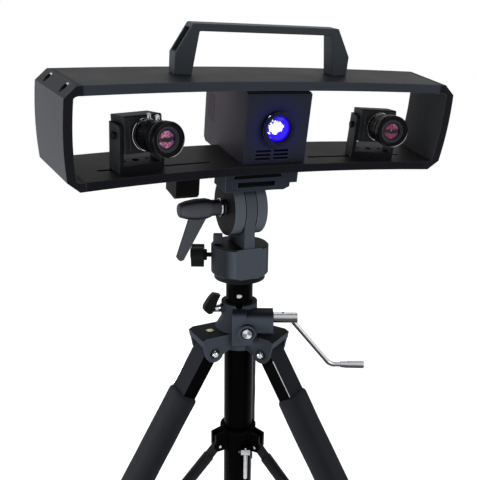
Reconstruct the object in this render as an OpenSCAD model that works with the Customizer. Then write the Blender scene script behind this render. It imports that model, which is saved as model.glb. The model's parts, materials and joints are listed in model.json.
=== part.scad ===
// Foot scanner: a curved camera and projector frame on a pan and tilt head with a geared tripod.
// Millimetres, +Z up, floor at z = 0, centre column on the z axis, scanner looking along -Y.

/* [Scanner frame] */
// length of each plate along its arc, seam to seam
plate_l = 440; // [380:1:520]
// plan radius of the plates' middle line
plate_bend = 1228; // [900:1:2000]
// plate depth, front to back
plate_d = 90; // [80:1:110]
// plate thickness
plate_t = 10; // [8:0.5:14]
// outer height of the frame
frame_h = 106; // [104:1:120]
// end cap: flat part next to the seam
cap_flat = 6.5; // [5:0.5:10]
// end cap: reach of the chamfer's outer end
cap_out = 19.5; // [17:0.5:26]
// end cap: drop of the chamfer
cap_drop = 11.5; // [9:0.5:15]
// end cap: bow of the outer side
cap_bow = 2.2; // [1:0.1:4]
// end cap: wall of the outer side
cap_wall = 9.5; // [8:0.5:14]
// end cap: radius of the inner corners
cap_corner = 7.5; // [5:0.5:16]
// end cap screws: shank radius
cap_screw_r = 2; // [1.5:0.1:2.5]
// end cap screws: distance of each from the plate's middle line
cap_screw_y = 25; // [18:1:34]

/* [Handle] */
// half length of the handle over its feet
grip_x = 108.3; // [90:0.1:120]
// handle: middle, from the frame's middle
grip_mid = 2.2; // [-5:0.1:5]
// length of each foot along the plate
grip_foot = 20; // [16:1:26]
// depth of the handle
grip_d = 21; // [16:1:26]
// height of the handle's top above the plate
grip_h = 53.3; // [44:0.1:60]
// height of the knee where the end starts to slope
grip_knee = 22; // [16:1:28]
// thickness of the top bar
grip_bar = 7.8; // [7:0.1:12]

/* [Projector] */
// middle of the projector, from the frame's middle
proj_x = 11.8; // [-15:0.1:15]
// width of the projector
proj_w = 81; // [70:1:90]
// gap between the projector and the top plate
proj_gap = 4; // [2:0.5:10]
// front face of the panel
proj_front = -36; // [-40:0.5:-30]
// rear face of the housing
proj_back = 95; // [80:1:110]
// panel thickness
panel_t = 3; // [2:0.5:4]
// housing wall
house_wall = 2.5; // [2:0.5:4]
// lens ring radius
plens_r = 20.4; // [18:0.1:22]
// radius of the lens sleeve that turns in the engine
psleeve_r = 17.5; // [15:0.5:18]
// reach of the lens ring in front of the panel
plens_out = 8; // [5:0.5:12]
// height of the lens axis above the frame's middle
plens_z = -1.5; // [-4:0.5:4]
// fan rotor radius
fan_r = 25; // [20:0.5:30]
// fan spindle radius
fan_pin_r = 2; // [1.5:0.1:3]

/* [Cameras] */
// clamp bolt of each camera, from the frame's middle
cam_x = 150; // [140:1:156]
// line of the camera slots behind the frame's middle
cam_y = -27.5; // [-32:0.5:-22]
// inward turn of each camera
cam_toe = 15; // [5:0.5:25]
// upward tilt of each camera in its bracket
cam_up = 7.5; // [0:0.5:12]
// camera case width
case_w = 44; // [40:0.5:48]
// camera case height
case_h = 39; // [36:0.5:44]
// camera case depth
case_d = 30; // [26:0.5:40]
// camera case front ahead of the pivot
case_front = 11; // [8:0.5:14]
// bracket depth
arm_d = 24; // [20:1:30]
// bracket side wall
arm_t = 4.5; // [3:0.5:6]
// bracket base thickness
arm_base = 8; // [6:0.5:10]
// height of the pivot above the plate
arm_pivot = 40; // [36:0.5:44]
// height of the side walls above the plate
arm_h = 51.5; // [48:0.5:56]
// pivot screw radius
piv_r = 2; // [1.5:0.1:2.5]
// length of each slot
slot_l = 126; // [110:1:140]
// width of each slot
slot_w = 5; // [4:0.5:7]
// middle of each slot from the frame's middle
slot_x = 129; // [120:1:135]
// angle of each slot to the frame
slot_a = 4; // [0:0.5:8]
// lens length ahead of the case
lens_l = 50.5; // [44:0.5:60]
// lens front rim radius
lens_r = 18.2; // [16:0.1:20]
// radius of the core that the focus ring turns on
lens_core = 12; // [10:0.5:13]
// turn of the right lens's lock screws round the barrel
lock_turn = 65; // [0:5:90]

/* [Head] */
// forward tilt of the scanner at rest
tilt_rest = 10; // [0:1:20]
// scanner's middle, from the column axis
head_x = 2; // [-4:0.5:4]
// tilt axis below the frame's underside
axis_drop = 64.8; // [60:0.2:72]
// tilt axis behind the frame's middle
axis_y = 18.5; // [10:0.5:26]
// radius of the three tilt discs
disc_r = 37; // [32:0.5:40]
// thickness of each disc
disc_t = 14; // [12:0.5:16]
// gap between the discs
disc_gap = 1; // [0.5:0.1:2]
// radius of the tilt bolt
tilt_bolt_r = 5; // [4:0.5:6]
// tilt lever: barrel radius
lever_r = 13.3; // [10:0.1:15]
// platform half length
plat_x = 42; // [36:1:46]
// platform front, from the frame's middle
plat_front = -22; // [-28:0.5:-18]
// platform back, from the frame's middle
plat_back = 15; // [10:0.5:24]
// pan body radius
pan_r = 38; // [34:0.5:42]
// flat front face of the pan body, from its axis
pan_flat = 32.8; // [30:0.1:37]
// height of the pan body
pan_h = 41; // [36:1:48]
// radius of the spindle that the pan body turns on
pan_pin_r = 15; // [12:0.5:17]

/* [Stand] */
// tilt axis above the leg pivots
head_rise = 190; // [185:1:215]
// lower leg and foot past the upper leg, drawn in
lower_out = 60; // [52:1:110]
// leg angle from the column when open
leg_splay = 31; // [26:0.5:36]
// direction of the rear leg, from +X
leg_turn = 64.8; // [60:0.1:67]
// direction opposite the gear case, from +X
gear_turn = 66.5; // [64:0.5:70]
// leg pivots from the column axis
hip_r = 48; // [46:0.5:54]
// leg tube thickness
leg_t = 19; // [17:0.5:22]
// leg tube width
leg_w = 35; // [32:0.5:38]
// leg tube wall
leg_wall = 2; // [1.5:0.1:2.5]
// upper leg length from the pivot
upper_l = 430; // [425:1:440]
// leg pivot bolt radius
hip_bolt_r = 4; // [3:0.1:5]
// foam grip start below the pivot
foam_from = 68; // [60:1:80]
// foam grip length
foam_l = 227; // [200:1:235]
// foam grip thickness
foam_t = 32; // [29:0.5:36]
// foam grip width
foam_w = 49; // [46:0.5:52]
// rubber foot radius
foot_r = 13; // [11:0.5:16]
// centre column radius
col_r = 18; // [17:0.5:19]
// centre tube wall
tube_wall = 1.7; // [1.5:0.1:2.5]
// centre tube below the leg pivots
tube_l = 250; // [235:1:280]
// pinion and rack module
gear_m = 1.25; // [1:0.05:1.4]
// pinion teeth
gear_n = 12; // [10:1:14]
// column travel upward
col_up = 120; // [80:1:130]
// crank arm: length of the slanted run
arm_l = 88; // [70:1:95]
// crank arm: lean of the slanted run from straight down
arm_a = 40; // [30:1:50]
// crank arm: length of the end that carries the grip
arm_tail = 44; // [38:1:50]
// crank arm: rod radius
arm_r = 3.1; // [2.5:0.1:3.5]
// bend radius of the crank arm
arm_bend = 14; // [8:1:20]
// height of the brace pivots below the leg pivots
brace_drop = 155; // [150:1:165]
// brace pivot on the leg, above the upper leg's end
brace_up = 45; // [40:1:55]
// brace tube radius
brace_r = 8; // [7:0.1:9]
// brace pivot pin radius
brace_pin_r = 2.5; // [2:0.1:3]

/* [Fits] */
// running clearance of pins and shafts
run_gap = 0.05; // [0.02:0.01:0.1]
// clearance of sliding pieces
slide_gap = 0.35; // [0.3:0.05:0.5]

/* [Hidden] */
$fn = 64;
e = 0.01;
big = 1000;
end_a = plate_l / (2 * plate_bend) * 180 / PI;
under = frame_h / 2;
deck = plate_t - frame_h / 2;
axis_z = -frame_h / 2 - axis_drop;
leg_len = upper_l + lower_out;
brace_at = upper_l - brace_up;
inner_in = upper_l / 2;
inner_wall = 2;
foot_sink = 12;
foot_up = foot_sink + 24;
hip_h = leg_len * cos(leg_splay);
tilt_h = hip_h + head_rise;
cap_well = 5;
cap_head = 4.5;
cap_screw_l = 10;
proj_h = frame_h - 2 * plate_t - proj_gap;
proj_top = deck + proj_h;
panel_gap = 1.2;
lens_x = proj_x - 1;
nose = case_front + 1.5;
slot_y = cam_y + (cam_x - slot_x) * tan(slot_a);
jack_r = 2.9;
lock_r = 1.2;
lock_y = [nose + 10, nose + 27];
arm_in = case_w / 2 + 0.5;
arm_out = arm_in + arm_t;
cheek_in = disc_t / 2 + disc_gap;
cheek_out = cheek_in + disc_t;
lever_neck = 18;
lever_wide = 40;
lever_l = 61.5;
plat_low = axis_z + disc_r - 2;
plat_up = -under - 4;
pan_top = head_rise - 50;
pan_low = pan_top - pan_h;
seat_low = pan_low - 6;
knob_out = 26.5;
tube_r = col_r + slide_gap + tube_wall;
hub_r = col_r + 6.4;
hub_top = 59;
lock_out = 26.4;
roof = 23;
boss_y = -10.6;
boss_z = 29.6;
level_at = [44.2, 0];
level_r = 6;
ear_in = leg_w / 2 + 0.6;
ear_out = ear_in + 5;
ear_r = 12.5;
lobe_x = hip_r + leg_t / 2 + 7.5;
pitch = PI * gear_m;
gear_r = gear_m * gear_n / 2;
rack_x = col_r - 0.8 - gear_m;
crank_x = rack_x + gear_r;
crank_z = 44;
rack_top = crank_z + 5 * pitch;
rack_n = ceil((col_up + 28) / pitch);
rack_low = rack_top - rack_n * pitch;
shaft_r = 5;
rack_w = 12;
crank_tube_r = 6.8;
crank_out = 77;
arm_from = 67;
arm_cut = arm_bend * tan((90 - arm_a) / 2);
collar_r = tube_r + slide_gap + 3.6;
collar_h = 34;
brace_in = collar_r + 8;
brace_n = foam_t / 2 + brace_r + 0.5;
brace_x = hip_r + brace_at * sin(leg_splay) - brace_n * cos(leg_splay);
brace_z = -brace_at * cos(leg_splay) - brace_n * sin(leg_splay);
brace_dx = brace_x - brace_in;
brace_dz = -brace_drop - brace_z;
brace_len = sqrt(brace_dx * brace_dx + brace_dz * brace_dz);
brace_a = atan2(brace_dx, brace_dz);
brace_eye_r = 2;
brace_slot = brace_eye_r + 1.8;
inner_t = leg_t - 2 * leg_wall - 2 * slide_gap;
inner_w = leg_w - 2 * leg_wall - 2 * slide_gap;
coal = [0.07, 0.07, 0.08];
slate = [0.13, 0.14, 0.16];
ink = [0.03, 0.03, 0.035];
steel = [0.75, 0.75, 0.77];

// places: scanner frame, camera, leg and gear side
module head_at() {
  translate([head_x, 0, tilt_h])
    rotate([tilt_rest, 0, 0])
      translate([0, -axis_y, -axis_z])
        children();
}

module axis_at() {
  translate([0, 0, tilt_h])
    rotate([tilt_rest, 0, 0])
      children();
}

module cam_at(side) {
  head_at()
    translate([side * cam_x, cam_y, deck])
      rotate([0, 0, -side * cam_toe])
        children();
}

module case_at(side) {
  cam_at(side)
    translate([0, -3, arm_pivot])
      rotate([-cam_up, 0, 0])
        children();
}

module hip_at() {
  translate([0, 0, hip_h])
    children();
}

module lobe_at(k) {
  rotate([0, 0, leg_turn + 120 * (k - 1)])
    translate([0, 0, hip_h])
      children();
}

module leg_at(k) {
  lobe_at(k)
    translate([hip_r, 0, 0])
      rotate([0, -leg_splay, 0])
        children();
}

module gear_at() {
  rotate([0, 0, gear_turn])
    translate([0, 0, hip_h])
      children();
}

// shapes along an axis
module rod_x(r, x0, x1) {
  translate([x0, 0, 0])
    rotate([0, 90, 0])
      cylinder(r = r, h = x1 - x0);
}

module rod_y(r, y0, y1) {
  translate([0, y1, 0])
    rotate([90, 0, 0])
      cylinder(r = r, h = y1 - y0);
}

module rod_z(r, z0, z1) {
  translate([0, 0, z0])
    cylinder(r = r, h = z1 - z0);
}

module block(x0, x1, y0, y1, z0, z1) {
  translate([x0, y0, z0])
    cube([x1 - x0, y1 - y0, z1 - z0]);
}

// a profile drawn in x and z, pushed along y
module slab_y(y0, y1) {
  translate([0, y1, 0])
    rotate([90, 0, 0])
      linear_extrude(height = y1 - y0)
        children();
}

// a profile drawn in y and z, pushed along x
module slab_x(x0, x1) {
  translate([x0, 0, 0])
    rotate([90, 0, 90])
      linear_extrude(height = x1 - x0)
        children();
}

// scanner frame
module plate_plan() {
  far = 2 * plate_bend;
  intersection() {
    translate([0, -plate_bend])
      difference() {
        circle(r = plate_bend + plate_d / 2);
        circle(r = plate_bend - plate_d / 2);
      }
    polygon([[0, -plate_bend], [far * sin(end_a), far * cos(end_a) - plate_bend],
      [-far * sin(end_a), far * cos(end_a) - plate_bend]]);
  }
}

module at_end(side) {
  mirror([side < 0 ? 1 : 0, 0, 0])
    translate([0, -plate_bend, 0])
      rotate([0, 0, -end_a])
        translate([0, plate_bend, 0])
          children();
}

module cap_screw_sites(top) {
  for (y = [-cap_screw_y, cap_screw_y])
    translate([0, y, top * (frame_h - plate_t) / 2])
      children();
}

module plate_screw_holes(top) {
  for (side = [-1, 1])
    at_end(side)
      cap_screw_sites(top)
        rod_x(cap_screw_r, -cap_screw_l, 1);
}

module top_plate() {
  color(coal)
    head_at()
      difference() {
        translate([0, 0, under - plate_t])
          linear_extrude(height = plate_t)
            plate_plan();
        plate_screw_holes(1);
      }
}

module slot_cut(side) {
  translate([side * slot_x, slot_y, 0])
    rotate([0, 0, side * -slot_a]) {
      block(-slot_l / 2, slot_l / 2, -slot_w / 2, slot_w / 2, deck - plate_t - 1, deck + 1);
      for (x = [-slot_l / 2, slot_l / 2])
        translate([x, 0, 0])
          rod_z(slot_w / 2, deck - plate_t - 1, deck + 1);
    }
}

module bottom_plate() {
  color(coal)
    head_at()
      difference() {
        translate([0, 0, -under])
          linear_extrude(height = plate_t)
            plate_plan();
        plate_screw_holes(-1);
        for (side = [-1, 1])
          slot_cut(side);
      }
}

module cap_outline() {
  tall = under - cap_drop;
  bow_r = (tall * tall + cap_bow * cap_bow) / (2 * cap_bow);
  wide = cap_out + cap_bow;
  hollow = wide - cap_wall;
  room = under - plate_t;
  difference() {
    intersection() {
      polygon([[0, under], [cap_flat, under], [cap_out, tall], [wide + 1, tall], [wide + 1, -tall],
        [cap_out, -tall], [cap_flat, -under], [0, -under]]);
      translate([wide - bow_r, 0])
        circle(r = bow_r);
    }
    intersection() {
      union() {
        translate([-1, -room])
          square([hollow - cap_corner + 1, 2 * room]);
        translate([-1, cap_corner - room])
          square([hollow + 1, 2 * room - 2 * cap_corner]);
        for (s = [-1, 1])
          translate([hollow - cap_corner, s * (room - cap_corner)])
            circle(r = cap_corner);
      }
      translate([wide - bow_r, 0])
        circle(r = bow_r - cap_wall);
    }
  }
}

module end_cap(side) {
  color(slate)
    head_at()
      at_end(side)
        difference() {
          slab_y(-plate_d / 2, plate_d / 2)
            cap_outline();
          for (top = [-1, 1])
            cap_screw_sites(top) {
              rod_x(cap_screw_r, -1, cap_well + e);
              rod_x(cap_head, cap_well, cap_out + cap_bow);
            }
        }
}

module left_end_cap() {
  end_cap(-1);
}

module right_end_cap() {
  end_cap(1);
}

module end_cap_screws() {
  color(steel)
    head_at()
      for (side = [-1, 1])
        at_end(side)
          for (top = [-1, 1])
            cap_screw_sites(top)
              difference() {
                union() {
                  rod_x(cap_screw_r, -cap_screw_l, cap_well);
                  rod_x(cap_head - 0.6, cap_well, cap_well + 4);
                }
                translate([cap_well + 1.5, 0, 0])
                  rotate([0, 90, 0])
                    cylinder(r = 2, h = 5, $fn = 6);
              }
}

// handle
module carry_handle() {
  ox = grip_x;
  tx = grip_x - 19;
  ix = grip_x - grip_foot;
  nx = tx - 8;
  top = under + grip_h;
  knee = under + grip_knee;
  color(coal)
    head_at()
      translate([grip_mid, 0, 0])
        difference() {
          slab_y(-grip_d / 2, grip_d / 2)
            polygon([[-ox, under], [-ox, knee], [-tx, top], [tx, top], [ox, knee], [ox, under], [ix, under],
              [nx, top - grip_bar], [-nx, top - grip_bar], [-ix, under]]);
          for (s = [-1, 1])
            mirror([s < 0 ? 1 : 0, 0, 0])
              slab_y(3.5 - grip_d / 2, grip_d / 2 - 3.5)
                polygon([[ox + 3, knee + 1.5], [ox - 14, knee + 1.5], [tx - 3, top - 7], [tx + 3, top - 4],
                  [tx + 16, top - 4]]);
        }
}

// projector
module vent_slots() {
  for (x = [-25, -2])
    for (row = [0:2])
      translate([proj_x + x, proj_front - 1, deck + 4 + 4.6 * row])
        cube([19.5, panel_t + 2, 2.7]);
}

module projector_panel() {
  color(ink)
    head_at()
      difference() {
        block(proj_x - proj_w / 2, proj_x + proj_w / 2, proj_front, proj_front + panel_t, deck,
          proj_top - panel_gap);
        translate([lens_x, 0, plens_z])
          rod_y(psleeve_r + slide_gap, proj_front - 1, proj_front + panel_t + 1);
        vent_slots();
      }
}

module house_side() {
  back_edge = plate_d / 2 + 1.5;
  polygon([[proj_front + panel_t, deck], [back_edge, deck], [back_edge, deck - 7.5],
    [proj_back - 6, deck - 7.5],
    [proj_back, deck - 3], [proj_back, proj_top], [proj_front + panel_t, proj_top]]);
}

module grille_cut() {
  intersection() {
    translate([proj_x, 0, plens_z])
      rod_y(fan_r + 1, proj_back - 10, proj_back + 1);
    for (row = [-4:4])
      translate([proj_x, 0, plens_z + 5.6 * row])
        difference() {
          block(-40, 40, proj_back - 10, proj_back + 1, -1.6, 1.6);
          if (abs(row) < 2)
            block(-9, 9, proj_back - 11, proj_back + 2, -2, 2);
        }
  }
}

module projector_housing() {
  w = proj_w / 2 - house_wall;
  color([0.17, 0.15, 0.15])
    head_at() {
      difference() {
        slab_x(proj_x - proj_w / 2, proj_x + proj_w / 2)
          house_side();
        block(proj_x - w, proj_x + w, proj_front, proj_back - house_wall, deck + house_wall,
          proj_top - house_wall);
        grille_cut();
        for (side = [-1, 1])
          for (row = [0:4])
            translate([proj_x + side * proj_w / 2, 62 + 5 * row, plens_z])
              cube([3 * house_wall, 2, 34], center = true);
      }
      translate([proj_x, 0, plens_z])
        rod_y(fan_pin_r, proj_back - 16, proj_back - house_wall + e);
    }
}

module light_engine() {
  half = proj_w / 2 - 12;
  tall = proj_top - 15;
  back = proj_back - 35;
  color([0.2, 0.21, 0.23])
    head_at()
      difference() {
        union() {
          block(proj_x - half, proj_x + half, -12, back, deck + house_wall, tall);
          translate([lens_x, 0, plens_z])
            rod_y(psleeve_r + 4, proj_front + panel_t + 1, -11);
        }
        translate([lens_x, 0, plens_z]) {
          rod_y(psleeve_r + run_gap, proj_front, -6);
          rod_y(9, -7, 30);
        }
        for (i = [0:6])
          translate([0, back - 38 + 5 * i, 0])
            block(proj_x - half - 1, proj_x + half + 1, 0, 2.5, tall - 16, tall + 1);
      }
}

module projector_lens() {
  y0 = proj_front - plens_out;
  y1 = proj_front - 0.3;
  color(ink)
    head_at()
      translate([lens_x, 0, plens_z])
        difference() {
          union() {
            rod_y(plens_r, y0 + 1.2, y1);
            rod_y(plens_r - 1, y0, y0 + 1.3);
            rod_y(psleeve_r, y1 - e, -8);
            for (a = [0:10:350])
              rotate([0, a, 0])
                block(plens_r - 0.4, plens_r + 0.35, y0 + 3.2, y1 - 1.2, -0.6, 0.6);
          }
          rotate([90, 0, 0])
            translate([0, 0, -y0 - 4])
              cylinder(r1 = psleeve_r - 2, r2 = psleeve_r + 0.2, h = 4 + e);
          rod_y(psleeve_r - 2, y0 + 4 - e, y0 + 9);
          rod_y(psleeve_r - 4, y0, -7);
        }
}

module projector_glass() {
  y0 = proj_front - plens_out + 4;
  dome = 30;
  r = psleeve_r - 2;
  color([0.1, 0.1, 0.9])
    head_at()
      translate([lens_x, 0, plens_z])
        intersection() {
          rod_y(r, y0 - 4, y0 + 5);
          translate([0, y0 + dome - 2.5, 0])
            sphere(r = dome);
        }
}

module fan_rotor() {
  color([0.1, 0.1, 0.1])
    head_at()
      translate([proj_x, 0, plens_z])
        difference() {
          union() {
            rod_y(9, proj_back - 14, proj_back - 5);
            for (i = [0:6])
              rotate([0, i * 360 / 7, 0])
                translate([0, proj_back - 9.5, 0])
                  rotate([0, 0, 28])
                    block(-1, 1, -5, 5, 5, fan_r - 1.5);
          }
          rod_y(fan_pin_r + run_gap, proj_back - 17, proj_back);
        }
}

// box of sockets under the bottom plate
module interface_box() {
  x0 = -101;
  x1 = -72;
  y0 = -15;
  y1 = 25;
  z0 = -under - 37;
  color(ink)
    head_at()
      difference() {
        union() {
          slab_x(x0, x1)
            polygon([[y0, -under], [y0, z0 + 5], [y0 + 5, z0], [y1, z0], [y1, -under]]);
          block(x0 - 8, x0 + e, y0 + 3, y1 - 3, -under - 14, -under);
        }
        block(x0 + 5, x0 + 17.5, y1 - 9, y1 + 1, z0 + 8, z0 + 13);
        translate([x1 - 7, 0, z0 + 21])
          rod_y(jack_r, y1 - 9, y1 + 1);
        block(x0 + 4, x0 + 14, y1 - 6, y1 + 1, z0 + 18, z0 + 24);
      }
}

// cameras
module bracket(side) {
  key = slot_w - 0.8;
  color(coal)
    cam_at(side)
      difference() {
        union() {
          block(-arm_out, arm_out, -arm_d / 2, arm_d / 2, 0, arm_base);
          for (s = [-1, 1])
            mirror([s < 0 ? 1 : 0, 0, 0])
              slab_x(arm_in, arm_out)
                polygon([[-arm_d / 2, 0], [arm_d / 2, 0], [arm_d / 2, arm_h], [3 - arm_d / 2, arm_h],
                  [-arm_d / 2, arm_h - 4]]);
          rod_z(key / 2, -plate_t - 1, 1);
          rod_z(7, -plate_t - 4.5, -plate_t - slide_gap);
        }
        translate([0, -3, arm_pivot])
          rod_x(piv_r, -arm_out - 1, arm_out + 1);
        for (x = [-14, 14])
          translate([x, 4, 0])
            rod_z(2.4, arm_base - 4, arm_base + 1);
        translate([0, 4, 0])
          rod_z(4, arm_base - 4, arm_base + 1);
      }
}

module bracket_left() {
  bracket(-1);
}

module bracket_right() {
  bracket(1);
}

module pivot_screws(side) {
  color(ink)
    cam_at(side)
      translate([0, -3, arm_pivot])
        for (s = [-1, 1])
          mirror([s < 0 ? 1 : 0, 0, 0]) {
            rod_x(piv_r, case_w / 2 - 5, arm_out + e);
            rod_x(3.2, arm_out, arm_out + 1.4);
            rod_x(4.2, arm_out + 1.4 - e, arm_out + 4.6);
          }
}

module pivot_screws_left() {
  pivot_screws(-1);
}

module pivot_screws_right() {
  pivot_screws(1);
}

module camera_case(side) {
  w = case_w / 2;
  h = case_h / 2;
  back = case_d - case_front;
  color(ink)
    case_at(side)
      difference() {
        union() {
          slab_x(-w, w)
            polygon([[-case_front, -h], [back, -h], [back, h], [1.5 - case_front, h],
              [-case_front, h - 1.5]]);
          block(3 - w + 2, w - 5, -nose, -case_front + e, 3 - h, h - 5);
        }
        for (s = [-1, 1])
          mirror([s < 0 ? 1 : 0, 0, 0])
            rod_x(piv_r + run_gap, w - 6, w + 1);
        rod_y(lens_core, -nose - 1, -nose + 6);
        block(-7, 7, back - 6, back + 1, -4, 4);
        for (x = [-1, 1])
          for (i = [0:3])
            block(x * 13 - 4, x * 13 + 4, back - 2, back + 1, 6 - 5 * i, 8 - 5 * i);
      }
}

module camera_left() {
  camera_case(-1);
}

module camera_right() {
  camera_case(1);
}

// lens: mount ring, rear barrel, core under the focus ring, front barrel with a flared rim
module lens_barrel(side) {
  tip = case_front + lens_l;
  flare = lens_r - 16.2;
  color(coal)
    case_at(side)
      difference() {
        rotate([90, 0, 0])
          rotate_extrude()
            polygon([[10, nose - 6], [lens_core, nose - 6], [lens_core, nose], [14, nose], [14, nose + 3],
              [17, nose + 3], [17, nose + 5.5], [15.4, nose + 5.5], [16.3, nose + 6.5], [16.3, nose + 14],
              [lens_core, nose + 14], [lens_core, nose + 23.5], [16.2, nose + 23.5], [16.2, nose + 30],
              [15.4, nose + 31], [15.4, nose + 33], [16.2, nose + 34], [16.2 + flare, nose + 38],
              [lens_r, tip - 1.5], [lens_r - 0.8, tip], [lens_r - 1.8, tip], [13.4, tip - 8],
              [13.4, tip - 12], [10, tip - 12]]);
        rotate([0, side > 0 ? lock_turn : 0, 0])
          for (y = lock_y)
            translate([0, -y, 0])
              rod_z(lock_r, lens_core + 1, 20);
      }
}

module lens_left() {
  lens_barrel(-1);
}

module lens_right() {
  lens_barrel(1);
}

module focus_ring(side) {
  y0 = nose + 14.3;
  y1 = nose + 23.2;
  color(ink)
    case_at(side)
      rotate([90, 0, 0])
        difference() {
          union() {
            translate([0, 0, y0])
              cylinder(r = 16.4, h = y1 - y0);
            for (a = [0:12:348])
              rotate([0, 0, a])
                block(16, 16.9, -0.8, 0.8, y0 + 1.2, y1 - 1.2);
          }
          translate([0, 0, y0 - 1])
            cylinder(r = lens_core + run_gap, h = y1 - y0 + 2);
        }
}

module focus_left() {
  focus_ring(-1);
}

module focus_right() {
  focus_ring(1);
}

module lens_locks(side) {
  color(steel)
    case_at(side)
      rotate([0, side > 0 ? lock_turn : 0, 0])
        for (y = lock_y)
          translate([0, -y, 0]) {
            rod_z(lock_r, lens_core + 1, 18);
            rod_z(2.7, 17.3, 21.6);
            rod_z(1.8, 21.6 - e, 22.4);
          }
}

module lens_locks_left() {
  lens_locks(-1);
}

module lens_locks_right() {
  lens_locks(1);
}

module lens_glass(side) {
  $fn = 160;
  tip = case_front + lens_l;
  dome = 24;
  color([0.45, 0.08, 0.3])
    case_at(side)
      intersection() {
        rod_y(13.4, -tip + 5, -tip + 12);
        translate([0, dome - tip + 7.5, 0])
          sphere(r = dome);
      }
}

module lens_glass_left() {
  lens_glass(-1);
}

module lens_glass_right() {
  lens_glass(1);
}

// head
module dove(half, grow) {
  polygon([[-half - grow, plat_up - 9 - grow], [half + grow, plat_up - 9 - grow],
    [half - 4 + grow, plat_up + 1], [4 - half - grow, plat_up + 1]]);
}

module quick_plate() {
  color(ink)
    head_at() {
      slab_y(plat_front + 2, plat_back - 1)
        intersection() {
          dove(32, 0);
          translate([-40, plat_up - 9])
            square([80, 9.5]);
        }
      block(-26, 26, plat_front + 5, plat_back - 1, plat_up, -under);
    }
}

module cheek(side) {
  web = plat_low - axis_z + 2;
  mirror([side < 0 ? 1 : 0, 0, 0]) {
    rod_x(disc_r, cheek_in, cheek_out);
    slab_x(cheek_in, cheek_out)
      polygon([[-disc_r / 2, 0], [plat_back - axis_y, 0], [plat_back - axis_y, web], [-disc_r / 2, web]]);
  }
}

module tilt_platform() {
  color(slate)
    difference() {
      union() {
        head_at()
          difference() {
            slab_y(plat_front, plat_back)
              polygon([[-plat_x, plat_up], [-plat_x, plat_low], [plat_x - 16, plat_low],
                [plat_x - 6, plat_low - 0.5],
                [plat_x + 2, plat_low + 3], [plat_x + 2, plat_low + 8], [plat_x + 12, plat_low + 8],
                [plat_x + 12, plat_up]]);
            slab_y(plat_front - 1, plat_back + 1)
              dove(32, slide_gap);
            block(-26, 24, plat_front - 1, plat_front + 5, plat_low + 5, plat_low + 12);
            translate([-head_x, axis_y, axis_z])
              rod_x(disc_r + 0.5, -cheek_in, cheek_in);
          }
        axis_at()
          for (side = [-1, 1])
            cheek(side);
      }
      axis_at()
        rod_x(tilt_bolt_r + run_gap, -cheek_out - 1, cheek_out + 1);
    }
}

module tilt_lever() {
  b0 = cheek_out + 0.3;
  color(ink)
    axis_at() {
      rod_x(tilt_bolt_r, -b0 - 1, cheek_out - 1);
      rotate([0, -90, 0])
        rotate_extrude()
          polygon([[0, b0], [9.5, b0], [9.5, b0 + 4], [lever_r - 1.9, b0 + 4], [lever_r - 1.9, b0 + 7.5],
            [lever_r - 2.9, b0 + 8], [lever_r - 2.9, b0 + lever_neck], [lever_r - 1.7, b0 + lever_neck + 2],
            [lever_r, b0 + lever_neck + 8], [lever_r, b0 + lever_wide], [lever_r - 1.7, b0 + lever_wide + 12],
            [lever_r - 4.3, b0 + lever_l - 1.5], [lever_r - 5.9, b0 + lever_l], [0, b0 + lever_l]]);
      slab_y(-4.5, 4.5)
        polygon([[-b0 - 44.5, -6], [-b0 - 22.5, -6], [-b0 - 53, -68], [-b0 - 57, -69.5],
          [-b0 - 61, -66.5]]);
    }
}

module knob_at() {
  hip_at()
    rotate([0, 0, 90 + gear_turn])
      translate([0, 0, pan_low + 24])
        children();
}

module pan_body() {
  top = pan_top;
  color(slate)
    difference() {
      union() {
        hip_at()
          difference() {
            union() {
              rod_z(pan_r, pan_low + 3, top - 2);
              translate([0, 0, top - 2 - e])
                cylinder(r1 = pan_r, r2 = pan_r - 2, h = 2);
              translate([0, 0, pan_low + 0.3])
                cylinder(r1 = pan_r - 3, r2 = pan_r, h = 2.7 + e);
              rotate([0, 0, 90 + gear_turn])
                block(pan_r - 15, pan_r - 3, -7, 7, pan_low + 3, top + 11);
            }
            block(-pan_r, pan_r, -pan_r - 1, -pan_flat, pan_low, top + 1);
          }
        hip_at()
          slab_x(-disc_t / 2, disc_t / 2)
            polygon([[-31, top - 3], [24, top - 3], [21, top + 20], [-22, top + 30], [-31.5, top + 32]]);
        translate([0, 0, tilt_h])
          rod_x(disc_r, -disc_t / 2, disc_t / 2);
      }
      translate([0, 0, tilt_h])
        rod_x(tilt_bolt_r + slide_gap, -disc_t, disc_t);
      hip_at() {
        rod_z(pan_pin_r + run_gap, pan_low - 1, top - 6);
      }
      knob_at()
        rod_x(3 + run_gap, pan_pin_r + 2, pan_r + 1);
    }
}

module knob_plan() {
  difference() {
    union() {
      circle(r = 10.5);
      for (a = [30:120:270])
        rotate(a)
          translate([10, 0])
            circle(r = 6.9);
    }
    for (a = [90:120:330])
      rotate(a)
        translate([18, 0])
          circle(r = 8.2);
  }
}

module pan_knob() {
  color(ink)
    knob_at() {
      slab_x(pan_r + 9.5, pan_r + knob_out)
        knob_plan();
      rod_x(7.5, pan_r + 5.5, pan_r + 10.5);
      rod_x(3, pan_pin_r + 2.5, pan_r + 6.5);
    }
}

module pan_seat() {
  color(ink)
    hip_at()
      difference() {
        union() {
          rod_z(pan_r - 4, seat_low, pan_low);
          rod_z(pan_pin_r, pan_low - e, pan_top - 8);
        }
        rod_z(col_r - 6, seat_low - 1, seat_low + 12);
      }
}

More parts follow.
